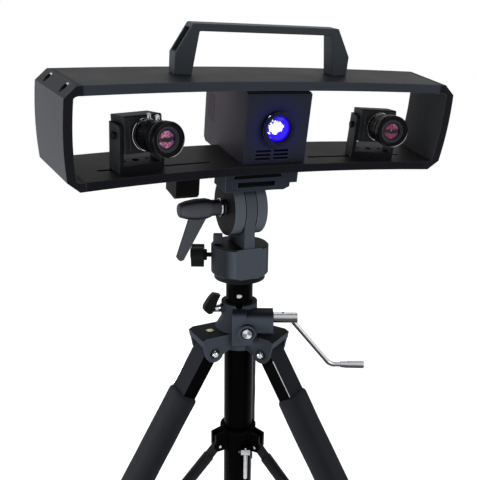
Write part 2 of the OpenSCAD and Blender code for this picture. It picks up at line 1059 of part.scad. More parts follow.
// stand
module rack_gap() {
  root = -rack_x + 1.3 * gear_m;
  tip = -rack_x - gear_m;
  out = -col_r - 2;
  teeth = [for (i = [0:rack_n - 1]) each let (z = rack_top - i * pitch)
    [[root, z - 0.19 * pitch], [tip, z - 0.41 * pitch], [tip, z - 0.59 * pitch], [root, z - 0.81 * pitch]]];
  slab_y(-rack_w / 2, rack_w / 2)
    polygon(concat([[out, rack_top], [root, rack_top]], teeth, [[root, rack_low], [out, rack_low]]));
}

module centre_column() {
  low = rack_low - 40;
  color(ink)
    gear_at()
      difference() {
        union() {
          rod_z(col_r, low, seat_low);
          rod_z(col_r - 6, seat_low - e, seat_low + 12);
        }
        rod_z(col_r - 8, low - 1, seat_low + 2);
        rack_gap();
        translate([0, 0, seat_low - 22])
          rod_x(2, -col_r - 1, -col_r + 5);
      }
}

module column_stop() {
  color(steel)
    gear_at()
      translate([0, 0, seat_low - 22]) {
        rod_x(2, -col_r - 0.5, -col_r + 5);
        translate([-col_r, 0, 0])
          rotate([0, -90, 0])
            rotate_extrude()
              polygon([[0, 0.1], [3.6, 0.1], [3.6, 0.8], [3, 1.7], [1.8, 2.3], [0, 2.5]]);
      }
}

module lobe_roof(k) {
  lobe_at(k)
    difference() {
      slab_y(-ear_out, ear_out)
        polygon([[14, roof], [lobe_x - 6, roof], [lobe_x, roof - 3], [lobe_x - 1.5, 11], [lobe_x - 5, 11],
          [lobe_x - 6, roof - 7], [14, roof - 7]]);
      block(hip_r - 18, lobe_x - 6, -ear_in, ear_in, -30, roof - 6);
    }
}

module lobe_ears(k) {
  lobe_at(k)
    for (s = [-1, 1])
      mirror([0, s < 0 ? 1 : 0, 0]) {
        slab_y(ear_in, ear_out)
          polygon([[14, roof - 1], [lobe_x - 4, roof - 1], [lobe_x, roof - 3], [hip_r + ear_r, 0],
            [hip_r + ear_r - 1, -4],
            [hip_r - ear_r + 1, -4], [23, 3], [14, 3]]);
        translate([hip_r, 0, 0])
          rod_y(ear_r, ear_in, ear_out);
      }
}

// gear case outline: depth behind its rounded front corner, top above the crank
module gear_case(deep, top) {
  translate([-crank_x - 15, crank_z - 16])
    square([deep + 10, top + 6]);
  translate([-crank_x - 5, crank_z - 16])
    square([deep, top + 16]);
  translate([-crank_x - 5, crank_z + top - 10])
    circle(r = 10);
}

module spider() {
  color(slate)
    difference() {
      union() {
        for (k = [1:3]) {
          lobe_roof(k);
          lobe_ears(k);
        }
        gear_at() {
          rod_z(hub_r + 9.5, 0, roof - 1);
          rod_z(hub_r, 0, hub_top);
          translate([0, 0, roof - 2])
            cylinder(r1 = hub_r + 9, r2 = hub_r, h = 16);
          slab_y(-9, 9)
            gear_case(crank_x - 1, 11.5);
          slab_y(-45, -5)
            gear_case(14.5, 9.5);
          rotate([0, 0, 20])
            translate([0, 0, hub_top - 8])
              rod_y(6, hub_r - 4, hub_r + 2);
          block(-crank_x - 15, -14, -23.5, 9, 10, crank_z);
          translate([0, boss_y, boss_z])
            rod_x(11.2, -crank_x - 22, -crank_x - 4);
        }
      }
      gear_at() {
        rod_z(col_r + slide_gap, 14, hub_top + 1);
        rod_z(tube_r, -1, 14 + e);
        translate([0, 0, hub_top])
          rod_x(5, -hub_r - 1, -col_r + 3);
        translate([-crank_x, 0, crank_z]) {
          rod_y(gear_r + gear_m + 1, -7, 7);
          rod_y(shaft_r + run_gap, -46, 6);
        }
        translate([0, boss_y, boss_z])
          rod_x(6.6 + run_gap, -crank_x - 23, -crank_x - 11);
      }
      lock_at()
        rod_y(3 + run_gap, col_r - 3, hub_r + 5);
      for (k = [1:3])
        lobe_at(k)
          translate([hip_r, 0, 0])
            rod_y(hip_bolt_r, -ear_out - 1, ear_out + 1);
      lobe_at(2)
        translate(level_at)
          rod_z(level_r, roof - 3, roof + 1);
    }
}

module tension_screw() {
  color(steel)
    gear_at()
      translate([0, boss_y, boss_z])
        difference() {
          rod_x(6.6, -crank_x - 23.5, -crank_x - 12);
          block(-crank_x - 24, -crank_x - 22.3, -0.8, 0.8, -9, 9);
        }
}

module pinion() {
  d = gear_m;
  rotate([90, 0, 0])
    translate([0, 0, -5]) {
      cylinder(r = gear_r - 1.3 * d, h = 10);
      for (i = [0:gear_n - 1])
        rotate([0, 0, i * 360 / gear_n])
          linear_extrude(height = 10)
            polygon([[-gear_r + 2 * d, 0.62 * d], [-gear_r, 0.62 * d], [-gear_r - d, 0.3 * d],
              [-gear_r - d, -0.3 * d], [-gear_r, -0.62 * d], [-gear_r + 2 * d, -0.62 * d]]);
    }
}

module crank() {
  color(steel)
    gear_at()
      translate([-crank_x, 0, crank_z]) {
        pinion();
        rod_y(shaft_r, -46, 5.5);
        difference() {
          rod_y(crank_tube_r, -crank_out, -45.5);
          rod_y(4.2, -crank_out - 1, -crank_out + 9);
        }
        translate([0, -58, 0])
          rod_z(1.6, crank_tube_r - 2, crank_tube_r + 0.9);
        translate([0, -arm_from, 0])
          rotate([-arm_a, 0, 0])
            rod_z(arm_r, arm_cut - arm_l - 1.5, 0);
        translate([0, -arm_from - arm_l * sin(arm_a), -arm_l * cos(arm_a)]) {
          rod_y(arm_r, -arm_tail, 1.5 - arm_cut);
          translate([0, -arm_cut, arm_bend])
            rotate([90, 0, 90])
              rotate([0, 0, -90])
                rotate_extrude(angle = 90 - arm_a)
                  translate([arm_bend, 0])
                    circle(r = arm_r + 0.25);
        }
      }
}

module crank_grip() {
  color(steel)
    gear_at()
      translate([-crank_x, -arm_from - arm_l * sin(arm_a), crank_z - arm_l * cos(arm_a)])
        rotate([90, 0, 0])
          rotate_extrude()
            polygon([[arm_r + run_gap, arm_tail - 30], [arm_r + 0.9, arm_tail - 30],
              [arm_r + 1.7, arm_tail - 22],
              [arm_r + 2, arm_tail], [arm_r + 1, arm_tail + 2], [0, arm_tail + 2], [0, arm_tail + 0.3],
              [arm_r + run_gap, arm_tail + 0.3]]);
}

module lock_at() {
  gear_at()
    rotate([0, 0, 20])
      translate([0, 0, hub_top - 8])
        children();
}

module column_lock() {
  h = hub_r;
  color(ink)
    lock_at() {
      rod_y(3, col_r + 1, h + 12);
      rod_y(4.2, h + 2.6, h + 15);
      slab_x(-4.5, 4.5)
        polygon([[h + 12.6, 22.5], [h + 3.4, 20], [h + 8, 11], [h + 10, 4], [h + 15, -5], [h + 20, -5.5],
          [h + lock_out, 0.8], [h + lock_out - 0.8, 6.4], [h + lock_out - 8, 17]]);
    }
}

module bubble_level() {
  color([0.75, 0.8, 0.1])
    lobe_at(2)
      translate(level_at)
        rod_z(level_r, roof - 3, roof + 0.6);
}

module leg_bolts() {
  color(steel)
    for (k = [1:3])
      lobe_at(k)
        translate([hip_r, 0, 0]) {
          rod_y(hip_bolt_r, -ear_out, ear_out);
          for (s = [-1, 1])
            mirror([0, s < 0 ? 1 : 0, 0]) {
              rod_y(6.4, ear_out - e, ear_out + 1);
              rod_y(5, ear_out, ear_out + 4.5);
            }
        }
}

module centre_tube() {
  color(ink)
    hip_at()
      difference() {
        rod_z(tube_r, -tube_l, 14);
        rod_z(tube_r - tube_wall, -tube_l + 3, 15);
      }
}

module clamp_at() {
  gear_at()
    translate([-collar_r - 5.2, -11, -brace_drop - 3])
      children();
}

module brace_collar() {
  low = -brace_drop - 9;
  top = low + collar_h;
  color(ink)
    difference() {
      union() {
        hip_at() {
          rod_z(collar_r, low, top);
          rod_z(collar_r + 1.5, top - 4, top - 1);
        }
        for (k = [1:3])
          lobe_at(k)
            for (s = [-1, 1])
              mirror([0, s < 0 ? 1 : 0, 0])
                slab_y(4, 8)
                  polygon([[tube_r + 1, low + 2], [brace_in + 4, low + 2], [brace_in + 7, low + 7],
                    [brace_in + 7, low + 28],
                    [tube_r + 1, low + 32]]);
        clamp_at()
          for (y = [-8.8, 6.6])
            slab_y(y, y + 2.2)
              polygon([[4, -4], [17, -6], [17, 8], [4, 4], [-3, 3], [-3, -3]]);
      }
      hip_at()
        rod_z(tube_r + slide_gap, low - 1, top + 1);
      for (k = [1:3])
        lobe_at(k)
          translate([brace_in, 0, -brace_drop])
            rod_y(brace_pin_r + run_gap, -9, 9);
      clamp_at()
        rod_y(1.6 + run_gap, -12, 12);
    }
}

module collar_clamp() {
  color(steel)
    clamp_at() {
      rod_y(1.6, -9.2, 9.2);
      rod_y(4.7, -6.3, 6.3);
      rod_z(2.6, -43, 0);
      rod_z(1.6, 0, 6.5);
    }
}

// legs
module upper_leg(k) {
  color(ink)
    leg_at(k)
      difference() {
        union() {
          rod_y(leg_t / 2, -leg_w / 2, leg_w / 2);
          block(-leg_t / 2, leg_t / 2, -leg_w / 2, leg_w / 2, -upper_l, 0);
          block(-leg_t / 2 - 4, leg_t / 2 + 4, -leg_w / 2 - 4, leg_w / 2 + 4, -upper_l, -upper_l + 26);
          translate([leg_t / 2 + 4, 0, -upper_l + 13])
            rod_x(8, -1, 14);
          for (s = [-1, 1])
            mirror([0, s < 0 ? 1 : 0, 0])
              slab_y(3.5, 7)
                polygon([[-leg_t / 2 + 1, -brace_at - 14], [-brace_n - 5, -brace_at - 5],
                  [-brace_n - 5, -brace_at + 5],
                  [-leg_t / 2 + 1, -brace_at + 18]]);
          translate([-brace_n, 0, -brace_at])
            rod_y(brace_eye_r, -8.5, 8.5);
        }
        rod_y(hip_bolt_r + run_gap, -leg_w, leg_w);
        block(leg_wall - leg_t / 2, leg_t / 2 - leg_wall, leg_wall - leg_w / 2, leg_w / 2 - leg_wall,
          -upper_l - 1, -18);
      }
}

module upper_leg_1() {
  upper_leg(1);
}

module upper_leg_2() {
  upper_leg(2);
}

module upper_leg_3() {
  upper_leg(3);
}

module foam_grip(k) {
  r = foam_t / 2;
  off = foam_w / 2 - r;
  color([0.1, 0.11, 0.13])
    leg_at(k)
      translate([0, 0, -foam_from - foam_l])
        linear_extrude(height = foam_l)
          difference() {
            union() {
              translate([-r, -off])
                square([2 * r, 2 * off]);
              for (s = [-1, 1])
                translate([0, s * off])
                  circle(r = r);
            }
            translate([-leg_t / 2, -leg_w / 2])
              square([leg_t, leg_w]);
          }
}

module foam_grip_1() {
  foam_grip(1);
}

module foam_grip_2() {
  foam_grip(2);
}

module foam_grip_3() {
  foam_grip(3);
}

module lower_leg(k) {
  color(coal)
    leg_at(k)
      difference() {
        block(-inner_t / 2, inner_t / 2, -inner_w / 2, inner_w / 2, foot_sink - leg_len,
          inner_in - upper_l);
        block(inner_wall - inner_t / 2, inner_t / 2 - inner_wall, inner_wall - inner_w / 2,
          inner_w / 2 - inner_wall,
          foot_up - 6 - leg_len, inner_in + 1 - upper_l);
      }
}

module lower_leg_1() {
  lower_leg(1);
}

module lower_leg_2() {
  lower_leg(2);
}

module lower_leg_3() {
  lower_leg(3);
}

module foot(k) {
  color([0.05, 0.05, 0.05])
    difference() {
      leg_at(k)
        difference() {
          union() {
            rod_z(foot_r, -leg_len - foot_r - 7, foot_sink + 2 - leg_len);
            block(-inner_t / 2 - 3, inner_t / 2 + 3, -inner_w / 2 - 3, inner_w / 2 + 3, foot_sink - leg_len,
              foot_up - leg_len);
          }
          block(-inner_t / 2, inner_t / 2, -inner_w / 2, inner_w / 2, foot_sink - leg_len,
            foot_up + 4 - leg_len);
        }
      block(-big, big, -big, big, -big, 0);
    }
}

module foot_1() {
  foot(1);
}

module foot_2() {
  foot(2);
}

module foot_3() {
  foot(3);
}

// brace: forked link, tube, and a slotted tongue that runs on the leg's pin
module brace(k) {
  color(ink)
    lobe_at(k)
      translate([brace_in, 0, -brace_drop])
        rotate([0, -brace_a, 0])
          difference() {
            union() {
              rod_y(brace_pin_r, -8.5, 8.5);
              rod_y(6, -3.6, 3.6);
              block(-6, 6, -3.6, 3.6, -24, 0);
              rod_z(brace_r, -brace_len + 26, -20);
              block(-6, 6, -2.5, 2.5, -brace_len - 6, -brace_len + 30);
            }
            block(-brace_slot, brace_slot, -6, 6, -brace_len - brace_slot, -brace_len + 11);
          }
}

module brace_1() {
  brace(1);
}

module brace_2() {
  brace(2);
}

module brace_3() {
  brace(3);
}

top_plate();
bottom_plate();
left_end_cap();
right_end_cap();
end_cap_screws();
carry_handle();
projector_housing();
projector_panel();
projector_lens();
projector_glass();
light_engine();
fan_rotor();
interface_box();
bracket_left();
bracket_right();
pivot_screws_left();
pivot_screws_right();
camera_left();
camera_right();
lens_left();
lens_right();
focus_left();
focus_right();
lens_locks_left();
lens_locks_right();
lens_glass_left();
lens_glass_right();
quick_plate();
tilt_platform();
tilt_lever();
pan_body();
pan_knob();
pan_seat();
centre_column();
column_stop();
spider();
tension_screw();
crank();
crank_grip();
column_lock();
bubble_level();
leg_bolts();
centre_tube();
brace_collar();
collar_clamp();
upper_leg_1();
upper_leg_2();
upper_leg_3();
foam_grip_1();
foam_grip_2();
foam_grip_3();
lower_leg_1();
lower_leg_2();
lower_leg_3();
foot_1();
foot_2();
foot_3();
brace_1();
brace_2();
brace_3();
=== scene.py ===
import json
import math

import bmesh
import bpy
from mathutils import Matrix, Vector, noise


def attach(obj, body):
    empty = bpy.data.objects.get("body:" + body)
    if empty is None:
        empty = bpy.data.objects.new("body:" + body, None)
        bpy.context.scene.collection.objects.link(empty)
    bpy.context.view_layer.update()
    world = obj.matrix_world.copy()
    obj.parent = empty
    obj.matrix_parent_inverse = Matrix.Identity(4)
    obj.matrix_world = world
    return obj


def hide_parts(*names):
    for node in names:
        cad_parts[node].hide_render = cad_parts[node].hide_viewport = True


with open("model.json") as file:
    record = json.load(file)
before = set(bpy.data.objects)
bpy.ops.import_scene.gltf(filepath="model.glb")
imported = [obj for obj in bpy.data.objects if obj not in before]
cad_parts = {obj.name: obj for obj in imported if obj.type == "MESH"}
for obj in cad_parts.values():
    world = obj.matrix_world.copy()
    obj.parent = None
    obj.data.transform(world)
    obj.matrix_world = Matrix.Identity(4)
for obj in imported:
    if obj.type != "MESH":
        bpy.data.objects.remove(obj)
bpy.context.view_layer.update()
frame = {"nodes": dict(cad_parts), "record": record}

mm = 0.001
tiny = 1e-6
nodes = frame["nodes"]
bodyOf = {n: b for b, group in frame["record"]["behaviour"]["bodies"].items() for n in group}
scene = bpy.context.scene

# sizes shared with the part's source, in millimetres and degrees
sizes = {
    "headX": 2, "tiltHeight": 610.012, "tiltRest": 10, "axisY": 18.5, "axisZ": -117.8,
    "camX": 150, "camY": -27.5, "deck": -43, "camToe": 15, "armPivot": 40, "pivotY": -3, "camUp": 7.5,
    "hipHeight": 420.012, "hipR": 48, "legTurn": 64.8, "legStep": 120, "gearTurn": 66.5, "legSplay": 31,
    "bend": 1228, "endTurn": 10.265, "projFront": -36, "lensX": 10.8, "lensZ": -1.5, "plensOut": 8,
}
legs = (1, 2, 3)


def turn(axis, degrees):
    return Matrix.Rotation(math.radians(degrees), 4, axis)


def shift(x, y, z):
    return Matrix.Translation((x * mm, y * mm, z * mm))


def headPlace():
    return (shift(sizes["headX"], 0, sizes["tiltHeight"]) @ turn("X", sizes["tiltRest"])
            @ shift(0, -sizes["axisY"], -sizes["axisZ"]))


def camPlace(side):
    return (headPlace() @ shift(side * sizes["camX"], sizes["camY"], sizes["deck"])
            @ turn("Z", -side * sizes["camToe"]))


def casePlace(side):
    return camPlace(side) @ shift(0, sizes["pivotY"], sizes["armPivot"]) @ turn("X", -sizes["camUp"])


def leverPlace():
    return shift(0, 0, sizes["tiltHeight"]) @ turn("X", sizes["tiltRest"]) @ turn("Y", -90)


def gearPlace():
    return turn("Z", sizes["gearTurn"]) @ shift(0, 0, sizes["hipHeight"])


def lobePlace(k):
    return turn("Z", sizes["legTurn"] + sizes["legStep"] * (k - 1)) @ shift(0, 0, sizes["hipHeight"])


def legPlace(k):
    return lobePlace(k) @ shift(sizes["hipR"], 0, 0) @ turn("Y", -sizes["legSplay"])


# camera at the photograph's viewing angle
print("stage: camera")
view = {
    "place": (-0.30426, -0.69824, 0.77938),
    "right": (0.91874, -0.39475, 0.00961),
    "up": (0.09917, 0.25423, 0.96205),
    "ahead": (0.38221, 0.88292, -0.27272),
    "lens": 45.07, "sensor": 36, "near": 0.02, "far": 40,
}
cameraData = bpy.data.cameras.new("camera")
cameraData.lens = view["lens"]
cameraData.sensor_width = view["sensor"]
cameraData.clip_start, cameraData.clip_end = view["near"], view["far"]
camera = bpy.data.objects.new("camera", cameraData)
scene.collection.objects.link(camera)
columns = [Vector(view["right"]), Vector(view["up"]), -Vector(view["ahead"])]
camera.matrix_world = Matrix.Translation(view["place"]) @ Matrix(columns).transposed().to_4x4()
scene.camera = camera


# materials
print("stage: materials")
usual = (0.3, 0.7)  # where most values of a noise lie
wear = {"radius": 1.1, "flat": 0.985, "turned": 0.88}  # no wear at flat, full wear at turned


# a screen tone, each share from 0 to 255, as straight light
def tone(r, g, b):
    def straight(v):
        v /= 255
        return v / 12.92 if v <= 0.04045 else ((v + 0.055) / 1.055) ** 2.4
    return (straight(r), straight(g), straight(b), 1)


def metres(lengths):
    return [v * mm for v in lengths]


class Paint:
    # a small hand for laying out one material's nodes
    def __init__(self, name):
        self.mat = bpy.data.materials.new(name)
        self.mat.use_nodes = True
        self.tree = self.mat.node_tree
        self.shader = self.tree.nodes["Principled BSDF"]
        self.coords = self.node("ShaderNodeTexCoord").outputs["Object"]

    def node(self, kind, **values):
        made = self.tree.nodes.new(kind)
        for key, value in values.items():
            setattr(made, key, value)
        return made

    def link(self, source, target):
        self.tree.links.new(source, target)

    def fill(self, socket, value):
        if hasattr(value, "is_output"):
            self.link(value, socket)
        else:
            socket.default_value = value

    def stretched(self, scale):
        made = self.node("ShaderNodeMapping")
        made.inputs["Scale"].default_value = scale
        self.link(self.coords, made.inputs["Vector"])
        return made.outputs["Vector"]

    def noise(self, scale, detail=3, rough=0.6, at=None):
        made = self.node("ShaderNodeTexNoise")
        made.inputs["Scale"].default_value = scale
        made.inputs["Detail"].default_value = detail
        made.inputs["Roughness"].default_value = rough
        self.link(at or self.coords, made.inputs["Vector"])
        return made.outputs["Fac"]

    def cells(self, scale):
        made = self.node("ShaderNodeTexVoronoi", feature="F1")
        made.inputs["Scale"].default_value = scale
        self.link(self.coords, made.inputs["Vector"])
        return made.outputs["Distance"]

    def span(self, value, low, high, toLow=0.0, toHigh=1.0, smooth=False):
        made = self.node("ShaderNodeMapRange")
        if smooth:
            made.interpolation_type = "SMOOTHSTEP"
        ends = {"From Min": low, "From Max": high, "To Min": toLow, "To Max": toHigh}
        for key, number in ends.items():
            made.inputs[key].default_value = number
        self.link(value, made.inputs["Value"])
        return made.outputs["Result"]

    def math(self, kind, a, b=0.0):
        made = self.node("ShaderNodeMath", operation=kind)
        self.fill(made.inputs[0], a)
        self.fill(made.inputs[1], b)
        return made.outputs[0]

    # distance from the middle over two axes
    def away(self, a, b):
        squares = self.math("ADD", self.math("MULTIPLY", a, a), self.math("MULTIPLY", b, b))
        return self.math("SQRT", squares)

    def mix(self, share, a, b):
        made = self.node("ShaderNodeMix", data_type="RGBA")
        self.fill(made.inputs["Factor"], share)
        self.fill(made.inputs["A"], a)
        self.fill(made.inputs["B"], b)
        return made.outputs["Result"]

    def parts(self, vector=None):
        made = self.node("ShaderNodeSeparateXYZ")
        self.link(vector or self.coords, made.inputs[0])
        return made.outputs

    def normal(self):
        return self.node("ShaderNodeTexCoord").outputs["Normal"]

    # share of wear: high where the surface turns away within about a millimetre
    def edges(self):
        rounder = self.node("ShaderNodeBevel", samples=4)
        rounder.inputs["Radius"].default_value = wear["radius"] * mm
        apart = self.node("ShaderNodeVectorMath", operation="DOT_PRODUCT")
        self.link(rounder.outputs["Normal"], apart.inputs[0])
        self.link(self.node("ShaderNodeNewGeometry").outputs["Normal"], apart.inputs[1])
        return self.span(apart.outputs["Value"], wear["flat"], wear["turned"])

    def bump(self, height, strength, depth):
        made = self.node("ShaderNodeBump")
        made.inputs["Strength"].default_value = strength
        made.inputs["Distance"].default_value = depth
        self.link(height, made.inputs["Height"])
        self.link(made.outputs["Normal"], self.shader.inputs["Normal"])

    def set(self, **values):
        names = {"colour": "Base Color", "metal": "Metallic", "rough": "Roughness",
                 "spec": "Specular IOR Level", "coat": "Coat Weight", "coatRough": "Coat Roughness",
                 "sheen": "Sheen Weight", "sheenRough": "Sheen Roughness", "glow": "Emission Color",
                 "glowStrength": "Emission Strength"}
        for key, value in values.items():
            self.fill(self.shader.inputs[names[key]], value)


# dark joint between plate and end cap, on the radius at the plate's end
seam = {"width": (0.3, 0.6), "share": 0.85, "tone": (6, 6, 7)}


def seamShare(p):
    axes = p.parts()
    end = math.radians(sizes["endTurn"])
    reach = p.math("MULTIPLY", p.math("ABSOLUTE", axes["X"]), math.cos(end))
    depth = p.math("MULTIPLY", p.math("ADD", axes["Y"], sizes["bend"] * mm), math.sin(end))
    gap = p.math("ABSOLUTE", p.math("SUBTRACT", reach, depth))
    return p.span(gap, *metres(seam["width"]), seam["share"], 0)


# satin and moulded finishes: cloudy tone, fine grain, worn edges, and painted light and shade, a
# lighter or darker tone for each way a face looks
satinLook = {
    "cloud": 18, "fineShare": 0.5, "cloudSpan": (0.3, 0.75), "paintedLightFacing": (0.6, 0.9), "step": 0.6,
    "roughSpan": (0.4, 1.1), "speck": 0.35, "speckSpan": (0.62, 0.78), "scuff": 160,
    "scuffSpan": (0.35, 0.65), "scuffShare": (0.1, 0.5),
}
# ways a face can look, each taking a tone of painted light or shade
paintedLightWays = {
    "left": ("X", -1), "right": ("X", 1), "front": ("Y", -1), "back": ("Y", 1), "top": ("Z", 1),
    "under": ("Z", -1),
}


def satin(name, base, worn, edge, grain=2600, rough=(0.44, 0.58), bump=0.08, depth=0.00008, spec=0.1,
          dust=0.02, seamed=False, above=None, **paintedLightFacing):
    p = Paint(name)
    look = satinLook
    fine = p.noise(grain)
    soft = p.noise(look["cloud"], detail=5, rough=0.55)
    body = p.mix(p.span(soft, *look["cloudSpan"]), tone(*base), tone(*worn))
    # painted light and shade: faces looking one way take that way's lighter or darker tone
    for key, shade in paintedLightFacing.items():
        axis, sign = paintedLightWays[key]
        start, full = look["paintedLightFacing"]
        paintedLightShare = p.span(p.parts(p.normal())[axis], start * sign, full * sign, smooth=True)
        body = p.mix(paintedLightShare, body, tone(*shade))
    if above:
        height, shade = above
        over = p.span(p.parts()["Z"], height * mm, (height + look["step"]) * mm)
        body = p.mix(over, body, tone(*shade))
    if seamed:
        body = p.mix(seamShare(p), body, tone(*seam["tone"]))
    specks = p.span(p.noise(grain * look["speck"], detail=2, rough=0.5), *look["speckSpan"], 0, dust)
    body = p.mix(specks, body, tone(*edge))
    patches = p.span(p.noise(look["scuff"], detail=4, rough=0.7), *look["scuffSpan"],
                     *look["scuffShare"])
    scuffs = p.math("MULTIPLY", p.edges(), patches)
    grit = p.math("ADD", soft, p.math("MULTIPLY", fine, look["fineShare"]))
    p.set(colour=p.mix(scuffs, body, tone(*edge)), spec=spec,
          rough=p.span(grit, *look["roughSpan"], *rough))
    p.bump(fine, bump, depth)
    return p.mat


# bright metal with hair lines and a little haze
brightLook = {
    "hair": 2.2, "lines": (900, 900, 60), "haze": 60, "hazeSpan": (0.35, 0.75), "hairSpan": (0.55, 0.8),
    "hairShare": 0.35, "roughSpan": (0.7, 1.3), "depth": 0.00005,
}


def hairLines(p):
    return p.noise(brightLook["hair"], at=p.stretched(brightLook["lines"]))


def bright(name, base, dull, rough=(0.1, 0.26), bump=0.08):
    p = Paint(name)
    look = brightLook
    hair = hairLines(p)
    soft = p.noise(look["haze"], detail=4)
    shade = p.mix(p.span(soft, *look["hazeSpan"]), tone(*base), tone(*dull))
    shade = p.mix(p.span(hair, *look["hairSpan"], 0, look["hairShare"]), shade, tone(*dull))
    p.set(colour=shade, metal=1.0, rough=p.span(p.math("ADD", soft, hair), *look["roughSpan"], *rough))
    p.bump(hair, bump, look["depth"])
    return p.mat


# each finish: base tone, worn tone, edge tone, then how it feels; front, back, left, right, top and
# under tones are painted light and shade on faces looking that way
finishes = {
    # lit and shaded copies of one black: a painted lighter front on the top plate, a painted darker
    # front on the bottom plate
    "frame": satin("frame_black", (31, 32, 35), (34, 35, 38), (98, 102, 108), grain=3200, spec=0.045,
                   seamed=True, front=(60, 65, 73)),
    "frameShaded": satin("frame_black_shaded", (31, 31, 33), (34, 34, 36), (92, 95, 100), grain=3200,
                      spec=0.05, seamed=True, front=(20, 21, 26)),
    "cap": satin("cap_grey", (72, 73, 77), (75, 76, 80), (126, 129, 134), rough=(0.5, 0.64), grain=2400,
                 spec=0.03, seamed=True, front=(32, 33, 37), top=(34, 34, 36)),
    "handle": satin("handle_black", (61, 65, 70), (65, 69, 74), (104, 108, 112), grain=2000, bump=0.12,
                    spec=0.06),
    "projector": satin("projector_brown", (56, 52, 59), (59, 55, 62), (100, 97, 104), rough=(0.5, 0.64),
                       spec=0.04),
    "camera": satin("camera_black", (22, 22, 25), (26, 26, 29), (84, 85, 92), grain=3000, spec=0.05,
                    left=(92, 93, 98), front=(46, 47, 51)),
    "coated": satin("bracket_black", (24, 25, 28), (28, 29, 32), (80, 82, 86), rough=(0.48, 0.62),
                    grain=2400, spec=0.05, left=(96, 98, 104), top=(9, 9, 11)),
    "lens": satin("lens_black", (6, 6, 8), (9, 9, 11), (84, 84, 90), rough=(0.2, 0.34), grain=4000,
                  bump=0.1, spec=0.05, dust=0.03),
    "bezel": satin("bezel_navy", (16, 15, 40), (20, 19, 48), (84, 84, 120), rough=(0.24, 0.38),
                   grain=3600, spec=0.08),
    "engine": satin("engine_grey", (46, 48, 52), (52, 54, 58), (110, 112, 116)),
    "box": satin("box_black", (8, 8, 9), (12, 12, 13), (60, 60, 64), rough=(0.46, 0.6), spec=0.03),
    "pan": satin("pan_slate", (36, 39, 43), (41, 44, 48), (128, 134, 142), rough=(0.48, 0.62),
                 grain=1500, bump=0.14, depth=0.00012, spec=0.03, front=(86, 93, 103),
                 top=(14, 15, 18)),
    "head": satin("head_slate", (98, 104, 114), (104, 110, 120), (150, 156, 164), rough=(0.48, 0.62),
                  grain=1500, bump=0.14, depth=0.00012, spec=0.03, left=(14, 14, 17),
                  right=(36, 37, 43), above=(-84, (52, 57, 68)), under=(24, 26, 30)),
    "knob": satin("knob_black", (23, 25, 26), (27, 29, 30), (62, 64, 66), grain=1800, bump=0.12,
                  spec=0.04),
    "lever": satin("lever_slate", (40, 42, 46), (45, 47, 51), (132, 136, 142), rough=(0.42, 0.56),
                   grain=1600, bump=0.12, depth=0.00012, spec=0.05, front=(88, 91, 97),
                   top=(20, 21, 24), under=(18, 19, 22)),
    "tube": satin("tube_black", (4, 4, 5), (6, 6, 7), (56, 58, 62), rough=(0.26, 0.4), grain=3600,
                  bump=0.1, spec=0.012, dust=0.03),
    "leg": satin("leg_slate", (36, 38, 43), (40, 42, 47), (96, 100, 106), rough=(0.42, 0.56),
                 grain=2200, spec=0.015, front=(4, 4, 5), back=(4, 4, 5)),
    "brace": satin("brace_black", (32, 33, 36), (37, 38, 41), (96, 98, 102), rough=(0.36, 0.5),
                   spec=0.08),
    "spider": satin("spider_slate", (46, 50, 57), (51, 55, 62), (112, 118, 126), rough=(0.5, 0.64),
                    grain=1300, bump=0.16, depth=0.00012, spec=0.03, front=(76, 83, 94),
                    top=(28, 30, 35), right=(24, 26, 31)),
    "rubber": satin("rubber_black", (20, 20, 21), (27, 27, 27), (54, 54, 54), rough=(0.65, 0.85),
                    grain=1200, bump=0.5, depth=0.00012, spec=0.05),
    "cone": satin("lens_cone", (50, 53, 60), (56, 59, 66), (104, 106, 112), rough=(0.5, 0.65),
                  grain=3000, spec=0.06),
    "steel": bright("steel_bright", (180, 181, 184), (136, 138, 142)),
    "chrome": bright("chrome_bright", (198, 199, 202), (146, 148, 152), rough=(0.06, 0.16), bump=0.04),
}


# closed-cell foam: pores, faint mottling, a soft sheen
foamLook = {
    "pores": 1500, "poreSpan": (0.02, 0.32), "poreShare": 0.7, "fleck": 3600, "fleckSpan": (0.6, 0.8),
    "fleckShare": 0.18, "mottle": 22, "base": (37, 39, 43), "pale": (43, 45, 50),
    "poreTone": (20, 21, 23), "fleckTone": (66, 68, 74), "rough": (0.78, 0.92), "poreHeight": 1.5,
    "fleckHeight": 0.5, "bump": 0.55, "depth": 0.0003,
}


def foamFinish():
    p = Paint("foam_black")
    look = foamLook
    pores = p.cells(look["pores"])
    small = p.noise(look["fleck"], rough=0.7)
    soft = p.noise(look["mottle"], detail=4)
    shade = p.mix(p.span(soft, *usual), tone(*look["base"]), tone(*look["pale"]))
    shade = p.mix(p.span(pores, *look["poreSpan"], look["poreShare"], 0.0), shade,
                  tone(*look["poreTone"]))
    shade = p.mix(p.span(small, *look["fleckSpan"], 0, look["fleckShare"]), shade,
                  tone(*look["fleckTone"]))
    p.set(colour=shade, rough=p.span(soft, *usual, *look["rough"]), spec=0.05, sheen=0.04,
          sheenRough=0.5)
    height = p.math("ADD", p.math("MULTIPLY", pores, look["poreHeight"]),
                    p.math("MULTIPLY", small, look["fleckHeight"]))
    p.bump(height, look["bump"], look["depth"])
    return p.mat


# navy front panel with painted light: bluer and faintly glowing round the lens where the lamp spills
# over it
panelLook = {
    "grain": 2800, "cloud": 40, "cloudSpan": (0.35, 0.7), "bump": 0.1, "depth": 0.00008,
    "near": (19, 44), "spill": 0.6, "edgeShare": 0.45, "base": (44, 47, 61), "pale": (47, 50, 64),
    "lit": (42, 42, 92), "edge": (104, 110, 132), "glow": (12, 10, 60), "glowStrength": 0.2,
    "rough": (0.46, 0.6),
}


